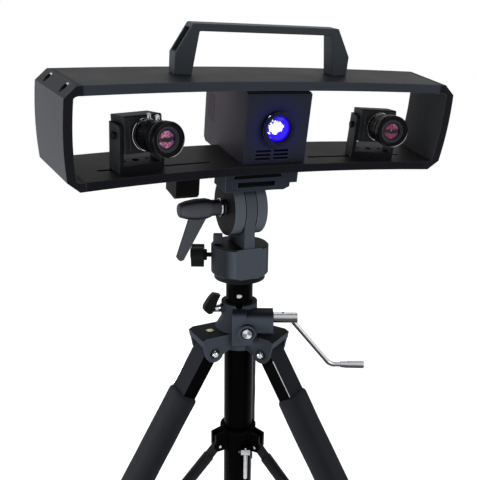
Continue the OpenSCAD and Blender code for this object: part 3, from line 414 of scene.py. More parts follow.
def panelFinish():
    p = Paint("panel_navy")
    look = panelLook
    axes = p.parts()
    across = p.math("SUBTRACT", axes["X"], sizes["lensX"] * mm)
    up = p.math("SUBTRACT", axes["Z"], sizes["lensZ"] * mm)
    near = p.span(p.away(across, up), *metres(look["near"]), 1, 0, smooth=True)
    fine = p.noise(look["grain"])
    soft = p.noise(look["cloud"], detail=4)
    shade = p.mix(p.span(soft, *look["cloudSpan"]), tone(*look["base"]), tone(*look["pale"]))
    # painted light: the lamp's spill as a bluer tone, and below as a faint glow, round the lens
    shade = p.mix(p.math("MULTIPLY", near, look["spill"]), shade, tone(*look["lit"]))
    shade = p.mix(p.math("MULTIPLY", p.edges(), look["edgeShare"]), shade, tone(*look["edge"]))
    p.set(colour=shade, rough=p.span(soft, *usual, *look["rough"]), spec=0.04,
          glow=p.mix(near, tone(0, 0, 0), tone(*look["glow"])), glowStrength=look["glowStrength"])
    p.bump(fine, look["bump"], look["depth"])
    return p.mat


# lit projector lens: ragged white core on deep blue, dark rings at the rim
beamLook = {
    "warp": 260, "tint": 420, "tintSpan": (0.35, 0.7), "coreX": -5, "coreZ": 1.5, "core": (6.8, 8.4),
    "ragged": (-4.2, 4.2), "rim": (9.5, 13.5), "ringPitch": 2600, "ringSpan": (-0.2, 0.9),
    "ringShare": (0.25, 0.9), "deep": (20, 0, 255), "violet": (60, 10, 255), "ring": (8, 0, 96),
    "glass": (4, 2, 30), "white": (255, 255, 255), "strength": (1.0, 1.6), "rough": (0.05, 0.12),
}


def beamFinish():
    p = Paint("beam_blue")
    look = beamLook
    axes = p.parts()
    warp = p.noise(look["warp"])
    across = p.math("SUBTRACT", axes["X"], look["coreX"] * mm)
    up = p.math("SUBTRACT", axes["Z"], look["coreZ"] * mm)
    core = p.math("ADD", p.away(across, up), p.span(warp, *usual, *metres(look["ragged"])))
    rim = p.away(axes["X"], axes["Z"])
    hot = p.span(core, *metres(look["core"]), 1, 0, smooth=True)
    wave = p.math("SINE", p.math("MULTIPLY", rim, look["ringPitch"]))
    tint = p.span(p.noise(look["tint"], detail=4), *look["tintSpan"])
    blue = p.mix(tint, tone(*look["deep"]), tone(*look["violet"]))
    rings = p.math("MULTIPLY", p.span(rim, *metres(look["rim"])),
                   p.span(wave, *look["ringSpan"], *look["ringShare"]))
    blue = p.mix(rings, blue, tone(*look["ring"]))
    p.set(colour=tone(*look["glass"]), rough=p.span(warp, *usual, *look["rough"]), spec=0.12, coat=0.05,
          coatRough=0.05, glow=p.mix(hot, blue, tone(*look["white"])),
          glowStrength=p.span(hot, 0, 1, *look["strength"]))
    return p.mat


# coated camera glass with painted reflections: a dark waist between two pink reflections that fan out
# from it, and a painted glint
glassLook = {
    "fan": 160, "rays": 2.6, "raySpan": (0.4, 0.66), "dimSpan": (0.3, 0.55), "dimShare": 0.5,
    "warp": 230, "ragged": (-1.6, 1.6), "waistX": 1.2, "waistFlat": 0.3, "waist": (1.4, 3.2),
    "rim": (7.8, 9.4), "belt": (0.6, 3), "beltShare": 0.12, "sideways": (0.8, 6.2), "sideShare": 0.85,
    "dark": (10, 5, 11), "glint": (190, 236, 250), "glintSize": (0.5, 1.2), "rough": (0.04, 0.1),
    "left": {"deep": (172, 44, 118), "pale": (246, 168, 200), "side": (128, 62, 156), "glintX": -7.8,
             "glintZ": -3.2, "glintShare": 0.9},
    "right": {"deep": (124, 22, 70), "pale": (196, 84, 130), "side": (96, 34, 96), "glintX": -1.2,
              "glintZ": 1.2, "glintShare": 0.35},
}


def glassFinish(word):
    p = Paint("glass_" + word)
    look, own = glassLook, glassLook[word]
    axes = p.parts()
    rim = p.away(axes["X"], axes["Z"])
    fan = p.node("ShaderNodeCombineXYZ")
    p.link(p.math("ARCTAN2", axes["Z"], axes["X"]), fan.inputs[0])
    p.link(p.math("MULTIPLY", rim, look["fan"]), fan.inputs[1])
    rays = p.noise(look["rays"], at=fan.outputs[0])
    warp = p.span(p.noise(look["warp"]), *usual, *metres(look["ragged"]))
    across = p.math("MULTIPLY", p.math("SUBTRACT", axes["X"], look["waistX"] * mm), look["waistFlat"])
    waist = p.away(across, p.math("ADD", axes["Z"], warp))
    lobe = p.math("MULTIPLY", p.span(waist, *metres(look["waist"]), 0, 1, smooth=True),
                  p.span(rim, *metres(look["rim"]), 1, 0, smooth=True))
    belt = p.span(p.math("ABSOLUTE", axes["Z"]), *metres(look["belt"]), look["beltShare"], 1,
                  smooth=True)
    lobe = p.math("MULTIPLY", lobe, belt)
    pink = p.mix(p.span(rays, *look["raySpan"]), tone(*own["deep"]), tone(*own["pale"]))
    pink = p.mix(p.span(axes["X"], *metres(look["sideways"]), 0, look["sideShare"]), pink,
                 tone(*own["side"]))
    dimmed = p.math("MULTIPLY", lobe, p.span(rays, *look["dimSpan"], look["dimShare"], 1))
    shade = p.mix(dimmed, tone(*look["dark"]), pink)
    # painted highlight: a small pale glint on the glass
    spot = p.away(p.math("SUBTRACT", axes["X"], own["glintX"] * mm),
                  p.math("SUBTRACT", axes["Z"], own["glintZ"] * mm))
    spark = p.span(spot, *metres(look["glintSize"]), own["glintShare"], 0, smooth=True)
    shade = p.mix(spark, shade, tone(*look["glint"]))
    p.set(colour=shade, rough=p.span(rays, *usual, *look["rough"]), spec=0.2, coat=0.1, coatRough=0.03)
    return p.mat


# spirit level: yellow-green fluid round a paler bubble
fluidLook = {
    "cloud": 500, "bubbleX": 0.6, "bubble": (2.2, 2.5), "line": 2.45, "lineWidth": 0.25,
    "lineShare": 0.85, "base": (176, 188, 30), "pale": (206, 214, 60), "bubbleTone": (236, 240, 170),
    "lineTone": (90, 100, 14), "rough": (0.06, 0.14),
}


def fluidFinish():
    p = Paint("level_fluid")
    look = fluidLook
    axes = p.parts()
    gap = p.away(p.math("SUBTRACT", axes["X"], look["bubbleX"] * mm), axes["Y"])
    soft = p.noise(look["cloud"])
    shade = p.mix(p.span(soft, *usual), tone(*look["base"]), tone(*look["pale"]))
    shade = p.mix(p.span(gap, *metres(look["bubble"]), 1, 0), shade, tone(*look["bubbleTone"]))
    offLine = p.math("ABSOLUTE", p.math("SUBTRACT", gap, look["line"] * mm))
    line = p.span(offLine, 0.0, look["lineWidth"] * mm, look["lineShare"], 0)
    shade = p.mix(line, shade, tone(*look["lineTone"]))
    p.set(colour=shade, rough=p.span(soft, *usual, *look["rough"]), spec=0.5, coat=0.5, coatRough=0.04)
    return p.mat


# polished rod with painted reflections: bright sky side, dark bands where it mirrors the stand and the
# ground
rodLook = {
    "hairSpan": (0.35, 0.7), "bump": 0.06, "sky": (0.5, 0.15, 0.85), "shadow": (0.12, -0.3),
    "shadowShare": 0.92, "band": 0.82, "bandWidth": 0.14, "bandShare": 0.7, "base": (206, 207, 210),
    "dull": (172, 174, 178), "dark": (30, 31, 34), "bandTone": (70, 72, 76), "rough": (0.16, 0.3),
}


def rodFinish():
    p = Paint("rod_polished")
    look = rodLook
    way = p.node("ShaderNodeVectorMath", operation="DOT_PRODUCT")
    p.link(p.normal(), way.inputs[0])
    way.inputs[1].default_value = look["sky"]
    up = way.outputs["Value"]
    hair = hairLines(p)
    shade = p.mix(p.span(hair, *look["hairSpan"]), tone(*look["base"]), tone(*look["dull"]))
    # painted reflection: dark where the surface looks down, a darker band near the sky side
    shade = p.mix(p.span(up, *look["shadow"], 0, look["shadowShare"], smooth=True), shade,
                  tone(*look["dark"]))
    offBand = p.math("ABSOLUTE", p.math("SUBTRACT", up, look["band"]))
    band = p.span(offBand, 0.0, look["bandWidth"], look["bandShare"], 0, smooth=True)
    shade = p.mix(band, shade, tone(*look["bandTone"]))
    p.set(colour=shade, metal=0.85, rough=p.span(hair, *usual, *look["rough"]))
    p.bump(hair, look["bump"], brightLook["depth"])
    return p.mat


# lens rim: glossy black, with a painted highlight along its lower right lip
rimLook = {
    "grain": 4200, "cloud": 40, "highlightBreakup": 700, "highlightBreakupSpan": (0.3, 0.6), "highlightBreakupLeast": 0.6, "bump": 0.05,
    "depth": 0.00005, "arcFrom": (-1.75, -1.2), "arcTo": (-0.45, 0.1), "lip": (16.3, 16.8),
    "base": (5, 5, 6), "pale": (9, 9, 11), "paintedHighlight": (206, 208, 212), "rough": (0.12, 0.22),
}


def rimFinish():
    p = Paint("lens_rim")
    look = rimLook
    axes = p.parts()
    around = p.math("ARCTAN2", axes["Y"], axes["X"])
    arc = p.math("MULTIPLY", p.span(around, *look["arcFrom"], 0, 1, smooth=True),
                 p.span(around, *look["arcTo"], 1, 0, smooth=True))
    away = p.away(axes["X"], axes["Y"])
    lip = p.math("MULTIPLY", arc, p.span(away, *metres(look["lip"]), 0, 1, smooth=True))
    fine = p.noise(look["grain"])
    shade = p.mix(p.span(p.noise(look["cloud"], detail=4), *usual), tone(*look["base"]),
                  tone(*look["pale"]))
    # painted highlight: a bright arc on the lower right lip, broken into patches
    patches = p.span(p.noise(look["highlightBreakup"]), *look["highlightBreakupSpan"], look["highlightBreakupLeast"], 1)
    paintedHighlight = p.math("MULTIPLY", lip, patches)
    shade = p.mix(paintedHighlight, shade, tone(*look["paintedHighlight"]))
    p.set(colour=shade, rough=p.span(fine, *usual, *look["rough"]), spec=0.06)
    p.bump(fine, look["bump"], look["depth"])
    return p.mat


# turned screw face: grey and bright sectors fanning from the middle as a painted reflection, fine
# turning rings, darker towards the edge
faceLook = {
    "sectors": 2, "fanTurn": 0.6, "fanSpan": (-0.6, 0.9), "ringPitch": 16000, "ringSpan": (0.2, 0.9),
    "ringShare": 0.3, "edge": (5.6, 6.4), "edgeShare": 0.6, "bump": 0.1, "depth": 0.00004,
    "grey": (112, 114, 119), "bright": (214, 216, 220), "ring": (88, 90, 95), "edgeTone": (60, 62, 66),
    "rough": (0.2, 0.34),
}


def faceFinish():
    p = Paint("steel_turned")
    look = faceLook
    axes = p.parts()
    around = p.math("MULTIPLY", p.math("ARCTAN2", axes["Y"], axes["X"]), look["sectors"])
    away = p.away(axes["X"], axes["Y"])
    fan = p.span(p.math("SINE", p.math("ADD", around, look["fanTurn"])), *look["fanSpan"], smooth=True)
    rings = p.math("SINE", p.math("MULTIPLY", away, look["ringPitch"]))
    # painted reflection: bright sectors fanning round the face
    shade = p.mix(fan, tone(*look["grey"]), tone(*look["bright"]))
    shade = p.mix(p.span(rings, *look["ringSpan"], 0, look["ringShare"]), shade, tone(*look["ring"]))
    shade = p.mix(p.span(away, *metres(look["edge"]), 0, look["edgeShare"]), shade,
                  tone(*look["edgeTone"]))
    p.set(colour=shade, metal=0.9, rough=p.span(rings, -1, 1, *look["rough"]))
    p.bump(rings, look["bump"], look["depth"])
    return p.mat


finishes["slottedSteel"] = faceFinish()
finishes["rod"] = rodFinish()
finishes["rim"] = rimFinish()
finishes["foam"] = foamFinish()
finishes["panel"] = panelFinish()
finishes["beam"] = beamFinish()
finishes["glassLeft"] = glassFinish("left")
finishes["glassRight"] = glassFinish("right")
finishes["fluid"] = fluidFinish()


# making pieces: angles in degrees, the weld in metres
bevels = {"crease": 32, "margin": 3, "segments": 2, "flat": 0.6, "weld": 2e-6}


def place(name, mesh, matrix, body, finish, replaced=()):
    made = bpy.data.objects.new(name, mesh)
    scene.collection.objects.link(made)
    made.matrix_world = matrix
    mesh.materials.clear()
    mesh.materials.append(finishes[finish])
    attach(made, body)
    if replaced:
        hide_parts(*replaced)
    return made


def smoothed(mesh, degrees=bevels["crease"]):
    for face in mesh.polygons:
        face.use_smooth = True
    mesh.set_sharp_from_angle(angle=math.radians(degrees))


# a copy of a CAD node with its edges broken, standing in for that node
def softened(node, width, finish, matrix=None, crease=bevels["crease"]):
    mesh = bpy.data.meshes.new(node + "_form")
    work = bmesh.new()
    work.from_mesh(nodes[node].data)
    for layer in list(work.loops.layers.uv):
        work.loops.layers.uv.remove(layer)
    bmesh.ops.remove_doubles(work, verts=work.verts, dist=bevels["weld"])
    bmesh.ops.dissolve_limit(work, angle_limit=math.radians(bevels["flat"]), verts=work.verts,
                             edges=work.edges)
    if matrix:
        bmesh.ops.transform(work, matrix=matrix.inverted(), verts=work.verts)
    work.to_mesh(mesh)
    work.free()
    stale = mesh.attributes.get("custom_normal")
    if stale:
        mesh.attributes.remove(stale)
    smoothed(mesh, crease)
    made = place(node + "_form", mesh, matrix or Matrix.Identity(4), bodyOf[node], finish, [node])
    bevel = made.modifiers.new("edges", "BEVEL")
    bevel.width = width * mm
    bevel.segments = bevels["segments"]
    bevel.limit_method = "ANGLE"
    bevel.angle_limit = math.radians(crease + bevels["margin"])
    bevel.harden_normals = True


# rings of points stacked along z: entries are (radius, height) or (radius, height, "hex")
def ringMesh(name, profile, sides=48, closed=False):
    mesh = bpy.data.meshes.new(name)
    work = bmesh.new()
    sixth = math.pi / 3
    rings = []
    for entry in profile:
        r, h = entry[0] * mm, entry[1] * mm
        if r == 0:
            rings.append([work.verts.new((0, 0, h))])
            continue
        ring = []
        for i in range(sides):
            a = 2 * math.pi * i / sides
            reach = r
            if len(entry) > 2:
                reach = r * math.cos(sixth / 2) / math.cos(a % sixth - sixth / 2)
            ring.append(work.verts.new((reach * math.cos(a), reach * math.sin(a), h)))
        rings.append(ring)
    pairs = list(zip(rings, rings[1:]))
    if closed:
        pairs.append((rings[-1], rings[0]))
    for low, high in pairs:
        for i in range(sides):
            j = (i + 1) % sides
            if len(low) == 1 and len(high) > 1:
                work.faces.new((low[0], high[j], high[i]))
            elif len(high) == 1 and len(low) > 1:
                work.faces.new((low[i], low[j], high[0]))
            elif len(low) > 1:
                work.faces.new((low[i], low[j], high[j], high[i]))
    bmesh.ops.recalc_face_normals(work, faces=work.faces)
    work.to_mesh(mesh)
    work.free()
    smoothed(mesh)
    return mesh


def turned(name, profile, matrix, body, finish, replaced=(), sides=48, closed=False):
    place(name, ringMesh(name, profile, sides, closed), matrix, body, finish, replaced)


# a thin bar between two corners, its outline rounded across one axis
def barMesh(name, low, high, rounding, axis):
    mesh = bpy.data.meshes.new(name)
    work = bmesh.new()
    bmesh.ops.create_cube(work, size=1)
    for v in work.verts:
        v.co = Vector([(a + b) / 2 + (b - a) * c for a, b, c in zip(low, high, v.co)]) * mm
    along = [e for e in work.edges if abs(e.verts[0].co[axis] - e.verts[1].co[axis]) > tiny]
    bmesh.ops.bevel(work, geom=along, offset=rounding * mm, segments=3, affect="EDGES")
    work.to_mesh(mesh)
    work.free()
    smoothed(mesh)
    return mesh


# several meshes, each with its own place, as one piece
def joined(name, parts, body, finish, replaced=()):
    mesh = bpy.data.meshes.new(name)
    work = bmesh.new()
    for part, matrix in parts:
        part.transform(matrix)
        work.from_mesh(part)
        bpy.data.meshes.remove(part)
    work.to_mesh(mesh)
    work.free()
    smoothed(mesh)
    place(name, mesh, Matrix.Identity(4), body, finish, replaced)


# CAD nodes with their edges broken: width in millimetres, finish, slot
print("stage: rounded nodes")
rounded = {
    "carry_handle": (1.1, "handle", "handle"), "projector_housing": (0.5, "projector", "projector"),
    "interface_box": (0.6, "box", "box"), "quick_plate": (0.5, "box", "head"),
    "pan_knob": (1.0, "knob", "knob"), "pan_seat": (0.6, "knob", "head"),
    "tilt_lever": (1.0, "lever", "knob"), "spider": (1.0, "spider", "spider"),
    "column_lock": (1.4, "knob", "knob"), "brace_collar": (0.7, "tube", "tube"),
    "collar_clamp": (0.5, "chrome", "steel"), "centre_tube": (0.4, "tube", "tube"),
    "bracket_left": (0.4, "coated", "coated"), "bracket_right": (0.4, "coated", "coated"),
    "camera_left": (0.6, "camera", "camera"), "camera_right": (0.6, "camera", "camera"),
    "pivot_screws_left": (0.3, "knob", "coated"), "pivot_screws_right": (0.3, "knob", "coated"),
    "lens_locks_left": (0.3, "chrome", "steel"), "lens_locks_right": (0.3, "chrome", "steel"),
}
for k in legs:
    rounded["lower_leg_%d" % k] = (1.0, "tube", "tube")
    rounded["foot_%d" % k] = (1.4, "rubber", "rubber")
    rounded["brace_%d" % k] = (0.6, "brace", "tube")
for node, (width, finish, slot) in rounded.items():
    softened(node, width, finish)

# the same, for nodes whose finish follows the scanner's own axes
inHead = {
    "top_plate": (0.5, "frame", "frame"), "bottom_plate": (0.5, "frameShaded", "frame"),
    "left_end_cap": (0.8, "cap", "cap"), "right_end_cap": (0.8, "cap", "cap"),
    "projector_panel": (0.5, "panel", "panel"), "tilt_platform": (1.0, "head", "head"),
}
for node, (width, finish, slot) in inHead.items():
    softened(node, width, finish, matrix=headPlace())

# and for the upper legs, the tension screw and the pan body, with axes or a crease of their own
ownAxes = {
    "legWidth": 1.2, "screwWidth": 0.4, "screwAt": (-45.45, -10.6, 29.6), "panWidth": 0.8,
    "panCrease": 16,
}
for k in legs:
    softened("upper_leg_%d" % k, ownAxes["legWidth"], "leg", matrix=legPlace(k))
screwPlace = gearPlace() @ shift(*ownAxes["screwAt"]) @ turn("Y", -90)
softened("tension_screw", ownAxes["screwWidth"], "slottedSteel", matrix=screwPlace)
softened("pan_body", ownAxes["panWidth"], "pan", crease=ownAxes["panCrease"])

# nodes kept as they are
kept = {
    "end_cap_screws": "steel", "light_engine": "engine", "fan_rotor": "knob", "focus_left": "lens",
    "focus_right": "lens", "centre_column": "tube", "column_stop": "chrome", "crank": "rod",
    "crank_grip": "rod",
}
for node, finish in kept.items():
    nodes[node].data.materials.clear()
    nodes[node].data.materials.append(finishes[finish])


# camera lenses: barrel, bright rings, grey cone behind the rim, coated glass
print("stage: lenses")
lens = {
    "sides": 72,
    "barrel": [(10, 6.5), (12, 6.5), (12, 12.5), (14, 12.5), (14, 15.4), (15.4, 15.4), (15.4, 18.2),
               (15.9, 18.4), (16.3, 19), (16.3, 20.4), (16.05, 20.6), (16.05, 21), (16.3, 21.2),
               (16.3, 26.2), (16, 26.5), (12, 26.5), (12, 36), (15.9, 36), (16.2, 36.3), (16.2, 42.5),
               (15.4, 43.5), (15.4, 45.5), (16.2, 46.5), (18.2, 50.5), (18.2, 53.2), (17.9, 53.4),
               (17.9, 53.8), (18.2, 54), (18.2, 60), (17.9, 60.9), (17.4, 61.5), (16.8, 61.5),
               (16.5, 61.2), (16, 59.4), (13.3, 56), (13.3, 49.5), (10, 49.5)],
    "rimFace": [(17.3, 61.6), (16.6, 61.75), (16.2, 61.5), (15.9, 60.7), (15.1, 60), (14.2, 59.5),
                (13.5, 59.2), (13.2, 58.8), (13.1, 58.2)],
    "mountRing": [(14.1, 15.3), (17, 15.3), (17.25, 15.6), (17.25, 17.6), (17, 17.9), (14.1, 17.9)],
    "trimRing": [(15.6, 20.3), (16.45, 20.4), (16.55, 20.65), (16.55, 21), (16.45, 21.25),
                 (15.6, 21.3)],
    "cone": [(13.2, 58.5), (12.9, 58.1), (12.6, 58.05), (12.3, 57.7), (12, 57.65), (11.7, 57.3),
             (11.4, 57.25), (11.1, 56.9), (10.8, 56.85), (10.5, 56.5), (10.2, 56.45), (9.9, 56.2),
             (9.7, 55.8)],
    "glass": [(9.9, 55.4), (9.2, 55.9), (8, 56.4), (6.4, 56.85), (4.6, 57.2), (2.4, 57.45), (0, 57.5)],
}
lensSides = lens["sides"]
for side, word in ((-1, "left"), (1, "right")):
    axis = casePlace(side) @ turn("X", 90)
    body = bodyOf["camera_" + word]
    turned("lens_%s_barrel" % word, lens["barrel"], axis, body, "lens", ["lens_" + word],
           lensSides, True)
    turned("lens_%s_mount_ring" % word, lens["mountRing"], axis, body, "chrome", (),
           lensSides, True)
    turned("lens_%s_trim_ring" % word, lens["trimRing"], axis, body, "steel", (),
           lensSides, True)
    turned("lens_%s_rim_face" % word, lens["rimFace"], axis, body, "rim", (), lensSides)
    turned("lens_%s_cone" % word, lens["cone"], axis, body, "cone", (), lensSides)
    glassMesh = ringMesh("glass_" + word, lens["glass"], lensSides)
    glassMesh.transform(turn("X", 90))
    place("lens_%s_coated_glass" % word, glassMesh, casePlace(side), body,
          "glass" + word.capitalize(), ["lens_glass_" + word])

# projector lens: knurled barrel, with turned rings inside it, the lit glass and a small screw
beam = {
    "sides": 72, "rimSides": 96, "screwSides": 24, "screwAt": (-13.6, 1.6, 14.6), "barrelEdge": 0.3,
    "rings": [(17.4, -0.2), (17.2, -0.4), (16.6, -0.4), (16.4, -1.2), (15.9, -1.3), (15.7, -2.2),
              (15.5, -2.4)],
    "glass": [(15.45, -4.6), (14.6, -3.8), (12.6, -3), (9.8, -2.3), (6.6, -1.8), (3.2, -1.55),
              (0, -1.5)],
    "rim": [(20.2, -1.3), (20.5, -1.2), (20.65, -1.6), (20.5, -2), (20.2, -1.9)],
    "screw": [(0, -1.4), (1.9, -1.4), (2, -0.6), (1.8, 0.1), (1.2, 0.4, "hex"), (1.1, -0.4, "hex"),
              (0, -0.4)],
}
beamBody = bodyOf["projector_lens"]
beamFace = headPlace() @ shift(sizes["lensX"], sizes["projFront"] - sizes["plensOut"], sizes["lensZ"])
beamAxis = beamFace @ turn("X", 90)
turned("projector_lens_rings", beam["rings"], beamAxis, beamBody, "bezel", (), beam["sides"])
turned("projector_lens_rim", beam["rim"], beamAxis, beamBody, "cone", (),
       beam["rimSides"], True)
beamMesh = ringMesh("beam_glass", beam["glass"], beam["sides"])
beamMesh.transform(turn("X", 90))
place("projector_lit_glass", beamMesh, beamFace, bodyOf["projector_glass"], "beam",
      ["projector_glass"])
beamScrew = beamFace @ shift(*beam["screwAt"]) @ turn("X", 90)
turned("projector_lens_screw", beam["screw"], beamScrew, beamBody, "chrome", (),
       beam["screwSides"])
softened("projector_lens", beam["barrelEdge"], "bezel")


# leg pivot bolts: washer and domed nut on each ear
print("stage: stand details")
bolt = {
    "earOut": 23.1,
    "washer": [(4.2, 0), (6.7, 0), (6.7, 0.8), (6.3, 1.1), (4.2, 1.1)],
    "nut": [(0, 0.9), (4.7, 0.9), (4.7, 1.2, "hex"), (4.7, 3, "hex"), (4.1, 3.5), (3.9, 4.1), (3.2, 5),
            (2.1, 5.7), (1, 6), (0, 6.1)],
}
nuts, washers = [], []
for k in legs:
    for s in (-1, 1):
        at = lobePlace(k) @ shift(sizes["hipR"], s * bolt["earOut"], 0) @ turn("X", -90 * s)
        nuts.append((ringMesh("nut", bolt["nut"]), at))
        washers.append((ringMesh("washer", bolt["washer"], closed=True), at))
joined("leg_bolt_washers", washers, "stand", "knob")
joined("leg_bolt_nuts", nuts, "stand", "chrome", ["leg_bolts"])

# spirit level: bezel, fluid under a low dome
level = {
    "at": (44.2, 0, 23), "lobe": 2, "sides": 36,
    "bezel": [(6, -0.6), (6.5, 0), (6.5, 0.5), (6.2, 0.8), (5.6, 0.85), (5.4, 0.6), (5.4, -0.4)],
    "fluid": [(5.45, 0.1), (5.1, 0.35), (4.2, 0.6), (2.9, 0.78), (1.5, 0.88), (0, 0.9)],
}
levelPlace = lobePlace(level["lobe"]) @ shift(*level["at"])
turned("level_bezel", level["bezel"], levelPlace, "stand", "spider", ["bubble_level"],
       level["sides"])
turned("level_fluid", level["fluid"], levelPlace, "stand", "fluid", (), level["sides"])

# painted shade: a dark strip at the back of the platform's front slot
slotShade = {"from": (-25.7, -17.7, -77.4), "to": (23.7, -17.1, -71.2), "round": 0.5}
slotShadeMesh = barMesh("slot_shade_strip", slotShade["from"], slotShade["to"], slotShade["round"], axis=1)
place("platform_slot_shade_strip", slotShadeMesh, headPlace(), bodyOf["tilt_platform"], "box")

# screens in the projector's side vents
vent = {
    "walls": (-28.7, 52.3), "sink": 0.35, "thick": 0.5, "rows": (62, 67, 72, 77, 82), "half": 0.93,
    "z": (-18.3, 15.3), "round": 0.3,
}
screens = []
for wall, inward in zip(vent["walls"], (1, -1)):
    near, far = sorted((wall + inward * vent["sink"], wall + inward * (vent["sink"] + vent["thick"])))
    for y in vent["rows"]:
        corners = [(x, y + s * vent["half"], z) for x, s, z in zip((near, far), (-1, 1), vent["z"])]
        screens.append((barMesh("screen", *corners, vent["round"], axis=0), headPlace()))
joined("projector_vent_screens", screens, bodyOf["projector_housing"], "projector")

# small parts: lever ring, lock stub, a dark ring round the tension screw as painted shade, brace
# rivets, bright steel strips on the leg corners as painted highlights
trim = {
    "leverRing": [(9.6, 26), (11.5, 26), (11.8, 26.5), (11.8, 29.3), (11.5, 29.8), (9.8, 29.8)],
    "lockStub": [(3.2, 27), (5, 27.2), (5.2, 27.6), (5.2, 30.6), (4.6, 31), (4.6, 33.4), (5, 33.8),
                 (5, 35), (3.2, 35.2)],
    "screwShadeRing": [(6.7, -0.1), (8.2, -0.1), (8.4, 0.1), (8.2, 0.3), (6.9, 0.3)],
    "rivet": [(0, -0.6), (2.3, -0.6), (2.3, 0.3), (1.9, 0.9), (1.1, 1.3), (0, 1.4)],
    "corner": [(0, -66), (0.5, -66), (0.65, -65.4), (0.65, -15), (0.5, -14.4), (0, -14.4)],
    "lockTurn": 20, "lockZ": 51, "lockSides": 36, "braceIn": 32, "braceDrop": 155, "rivetOut": 8.2,
    "rivetSides": 20, "cornerAt": (9.05, -17.05, 0), "cornerSides": 10,
}
lockPlace = gearPlace() @ turn("Z", trim["lockTurn"]) @ shift(0, 0, trim["lockZ"]) @ turn("X", -90)
turned("lever_ring", trim["leverRing"], leverPlace(), bodyOf["tilt_lever"], "chrome",
       closed=True)
turned("lock_stub", trim["lockStub"], lockPlace, bodyOf["column_lock"], "chrome", (),
       trim["lockSides"], True)
# painted shade: a near-black ring standing for the shadow round the tension screw
turned("tension_screw_shade_ring", trim["screwShadeRing"], screwPlace, bodyOf["spider"], "tube",
       closed=True)
rivets = []
for k in legs:
    for s in (-1, 1):
        at = shift(trim["braceIn"], s * trim["rivetOut"], -trim["braceDrop"]) @ turn("X", -90 * s)
        rivets.append((ringMesh("rivet", trim["rivet"], trim["rivetSides"]), lobePlace(k) @ at))
    # painted highlight: a bright steel strip along each leg's corner
    turned("leg_%d_corner" % k, trim["corner"], legPlace(k) @ shift(*trim["cornerAt"]), "leg_%d" % k,
           "steel", (), trim["cornerSides"])
joined("brace_rivets", rivets, bodyOf["brace_collar"], "chrome")

# foam grips: rounded rectangle sleeve with rolled lips and slight dents
foam = {
    "from": 68, "length": 227, "thick": 32, "wide": 49, "roll": 5.5, "rollSteps": 6, "rings": 64,
    "around": 72, "corner": 6, "dent": 0.5, "sink": 0.25, "dentAcross": 0.03, "dentAlong": 0.02,
    "dentApart": 7, "bore": (19, 35), "boreGap": 0.2, "crease": 60,
}


# distance along the sleeve and depth below its surface, from one rolled lip to the other
def foamStations():
    roll, length = foam["roll"], foam["length"]
    lip = []
    for i in range(foam["rollSteps"] + 1):
        a = math.pi / 2 * i / foam["rollSteps"]
        lip.append((roll * (1 - math.cos(a)), roll * (1 - math.sin(a))))
    body = [(roll + (length - 2 * roll) * i / foam["rings"], 0) for i in range(1, foam["rings"])]
    return lip + body + [(length - s, d) for s, d in reversed(lip)]


# the leg's outline in the plane of an end ring
def boreRing(work, end):
    halfX, halfY = [v / 2 + foam["boreGap"] for v in foam["bore"]]
    ring = []
    for v in end:
        x, y = v.co.x / mm, v.co.y / mm
        share = min(halfX / max(abs(x), tiny), halfY / max(abs(y), tiny))
        ring.append(work.verts.new((x * share * mm, y * share * mm, end[0].co.z)))
    return ring


def foamMesh(k):
    mesh = bpy.data.meshes.new("foam")
    work = bmesh.new()
    r = foam["thick"] / 2
    off = foam["wide"] / 2 - r
    rings = []
    for s, d in foamStations():
        ring = []
        for i in range(foam["around"]):
            a = 2 * math.pi * i / foam["around"]
            c, t = math.cos(a), math.sin(a)
            x = (r - d) * c
            y = (r - d) * t + math.copysign(off, t) * min(1, abs(t) * foam["corner"])
            spot = (x * foam["dentAcross"] + foam["dentApart"] * k, y * foam["dentAcross"],
                    s * foam["dentAlong"])
            grow = 1 + (foam["dent"] * noise.noise(Vector(spot)) - foam["sink"]) / r
            ring.append(work.verts.new((x * grow * mm, y * grow * mm, -(foam["from"] + s) * mm)))
        rings.append(ring)
    rings = [boreRing(work, rings[0])] + rings + [boreRing(work, rings[-1])]
    for low, high in zip(rings, rings[1:]):
        for i in range(foam["around"]):
            j = (i + 1) % foam["around"]
            work.faces.new((low[i], low[j], high[j], high[i]))
    bmesh.ops.recalc_face_normals(work, faces=work.faces)
    work.to_mesh(mesh)
    work.free()
    smoothed(mesh, foam["crease"])
    return mesh


for k in legs:
    grip = place("foam_grip_%d_sleeve" % k, foamMesh(k), legPlace(k), "leg_%d" % k, "foam",
                 ["foam_grip_%d" % k])


# floor, world and lamps
print("stage: light")
stage = {
    "floor": 30, "floorTone": (0.9, 0.9, 0.9, 1), "floorRough": 0.9, "floorSpec": 0.1,
    "floorGlow": 0.68, "white": (1, 1, 1, 1), "world": 0.33, "seenWorld": 1.0,
}


# camera, mirror and glass rays alike
def either(tree):
    paths = tree.nodes.new("ShaderNodeLightPath")
    share = paths.outputs["Is Camera Ray"]
    for key in ("Is Glossy Ray", "Is Transmission Ray"):
        made = tree.nodes.new("ShaderNodeMath")
        made.operation = "MAXIMUM"
        tree.links.new(share, made.inputs[0])
        tree.links.new(paths.outputs[key], made.inputs[1])
        share = made.outputs[0]
    return share


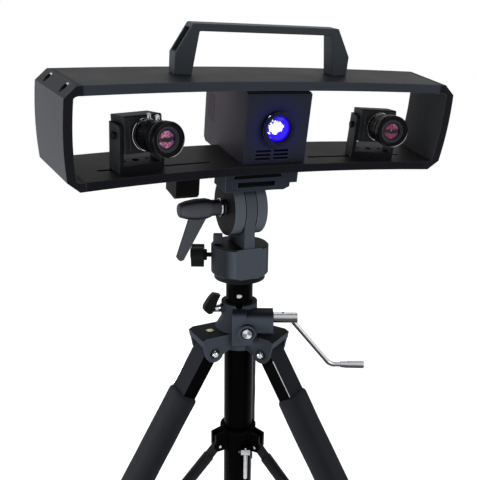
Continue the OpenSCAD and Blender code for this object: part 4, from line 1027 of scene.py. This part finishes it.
floorMesh = bpy.data.meshes.new("floor")
half = stage["floor"]
floorMesh.from_pydata([(-half, -half, 0), (half, -half, 0), (half, half, 0), (-half, half, 0)], [],
                      [(0, 1, 2, 3)])
floor = bpy.data.objects.new("floor", floorMesh)
scene.collection.objects.link(floor)
floorMat = bpy.data.materials.new("floor_pale")
floorMat.use_nodes = True
floorTree = floorMat.node_tree
floorShader = floorTree.nodes["Principled BSDF"]
floorShader.inputs["Base Color"].default_value = stage["floorTone"]
floorShader.inputs["Roughness"].default_value = stage["floorRough"]
floorShader.inputs["Specular IOR Level"].default_value = stage["floorSpec"]
floorShader.inputs["Emission Color"].default_value = stage["white"]
seen = floorTree.nodes.new("ShaderNodeMath")
seen.operation = "MULTIPLY"
seen.inputs[1].default_value = stage["floorGlow"]
floorTree.links.new(either(floorTree), seen.inputs[0])
floorTree.links.new(seen.outputs[0], floorShader.inputs["Emission Strength"])
floorMesh.materials.append(floorMat)

world = bpy.data.worlds.new("studio")
scene.world = world
world.use_nodes = True
worldTree = world.node_tree
backdrop = worldTree.nodes["Background"]
backdrop.inputs["Color"].default_value = stage["white"]
strength = worldTree.nodes.new("ShaderNodeMapRange")
strength.inputs["To Min"].default_value = stage["world"]
strength.inputs["To Max"].default_value = stage["seenWorld"]
worldTree.links.new(either(worldTree), strength.inputs["Value"])
worldTree.links.new(strength.outputs["Result"], backdrop.inputs["Strength"])

# each lamp: place and width in metres, power in watts
lamps = {
    "key": ((-2.2, 0.35, 0.7), 0.9, 33),
    "front": ((1.1, -1.9, 1.4), 1.4, 12),
    "top": ((0.2, 0.5, 2.3), 1.6, 7),
}
target = Vector((0, 0, 0.6))
for name, (at, size, power) in lamps.items():
    data = bpy.data.lights.new(name, "AREA")
    data.shape = "DISK"
    data.size = size
    data.energy = power
    lamp = bpy.data.objects.new(name, data)
    scene.collection.objects.link(lamp)
    lamp.location = at
    lamp.rotation_euler = (target - Vector(at)).to_track_quat("-Z", "Y").to_euler()

scene.view_settings.view_transform = "Standard"

bpy.context.view_layer.update()
print("stage: done")
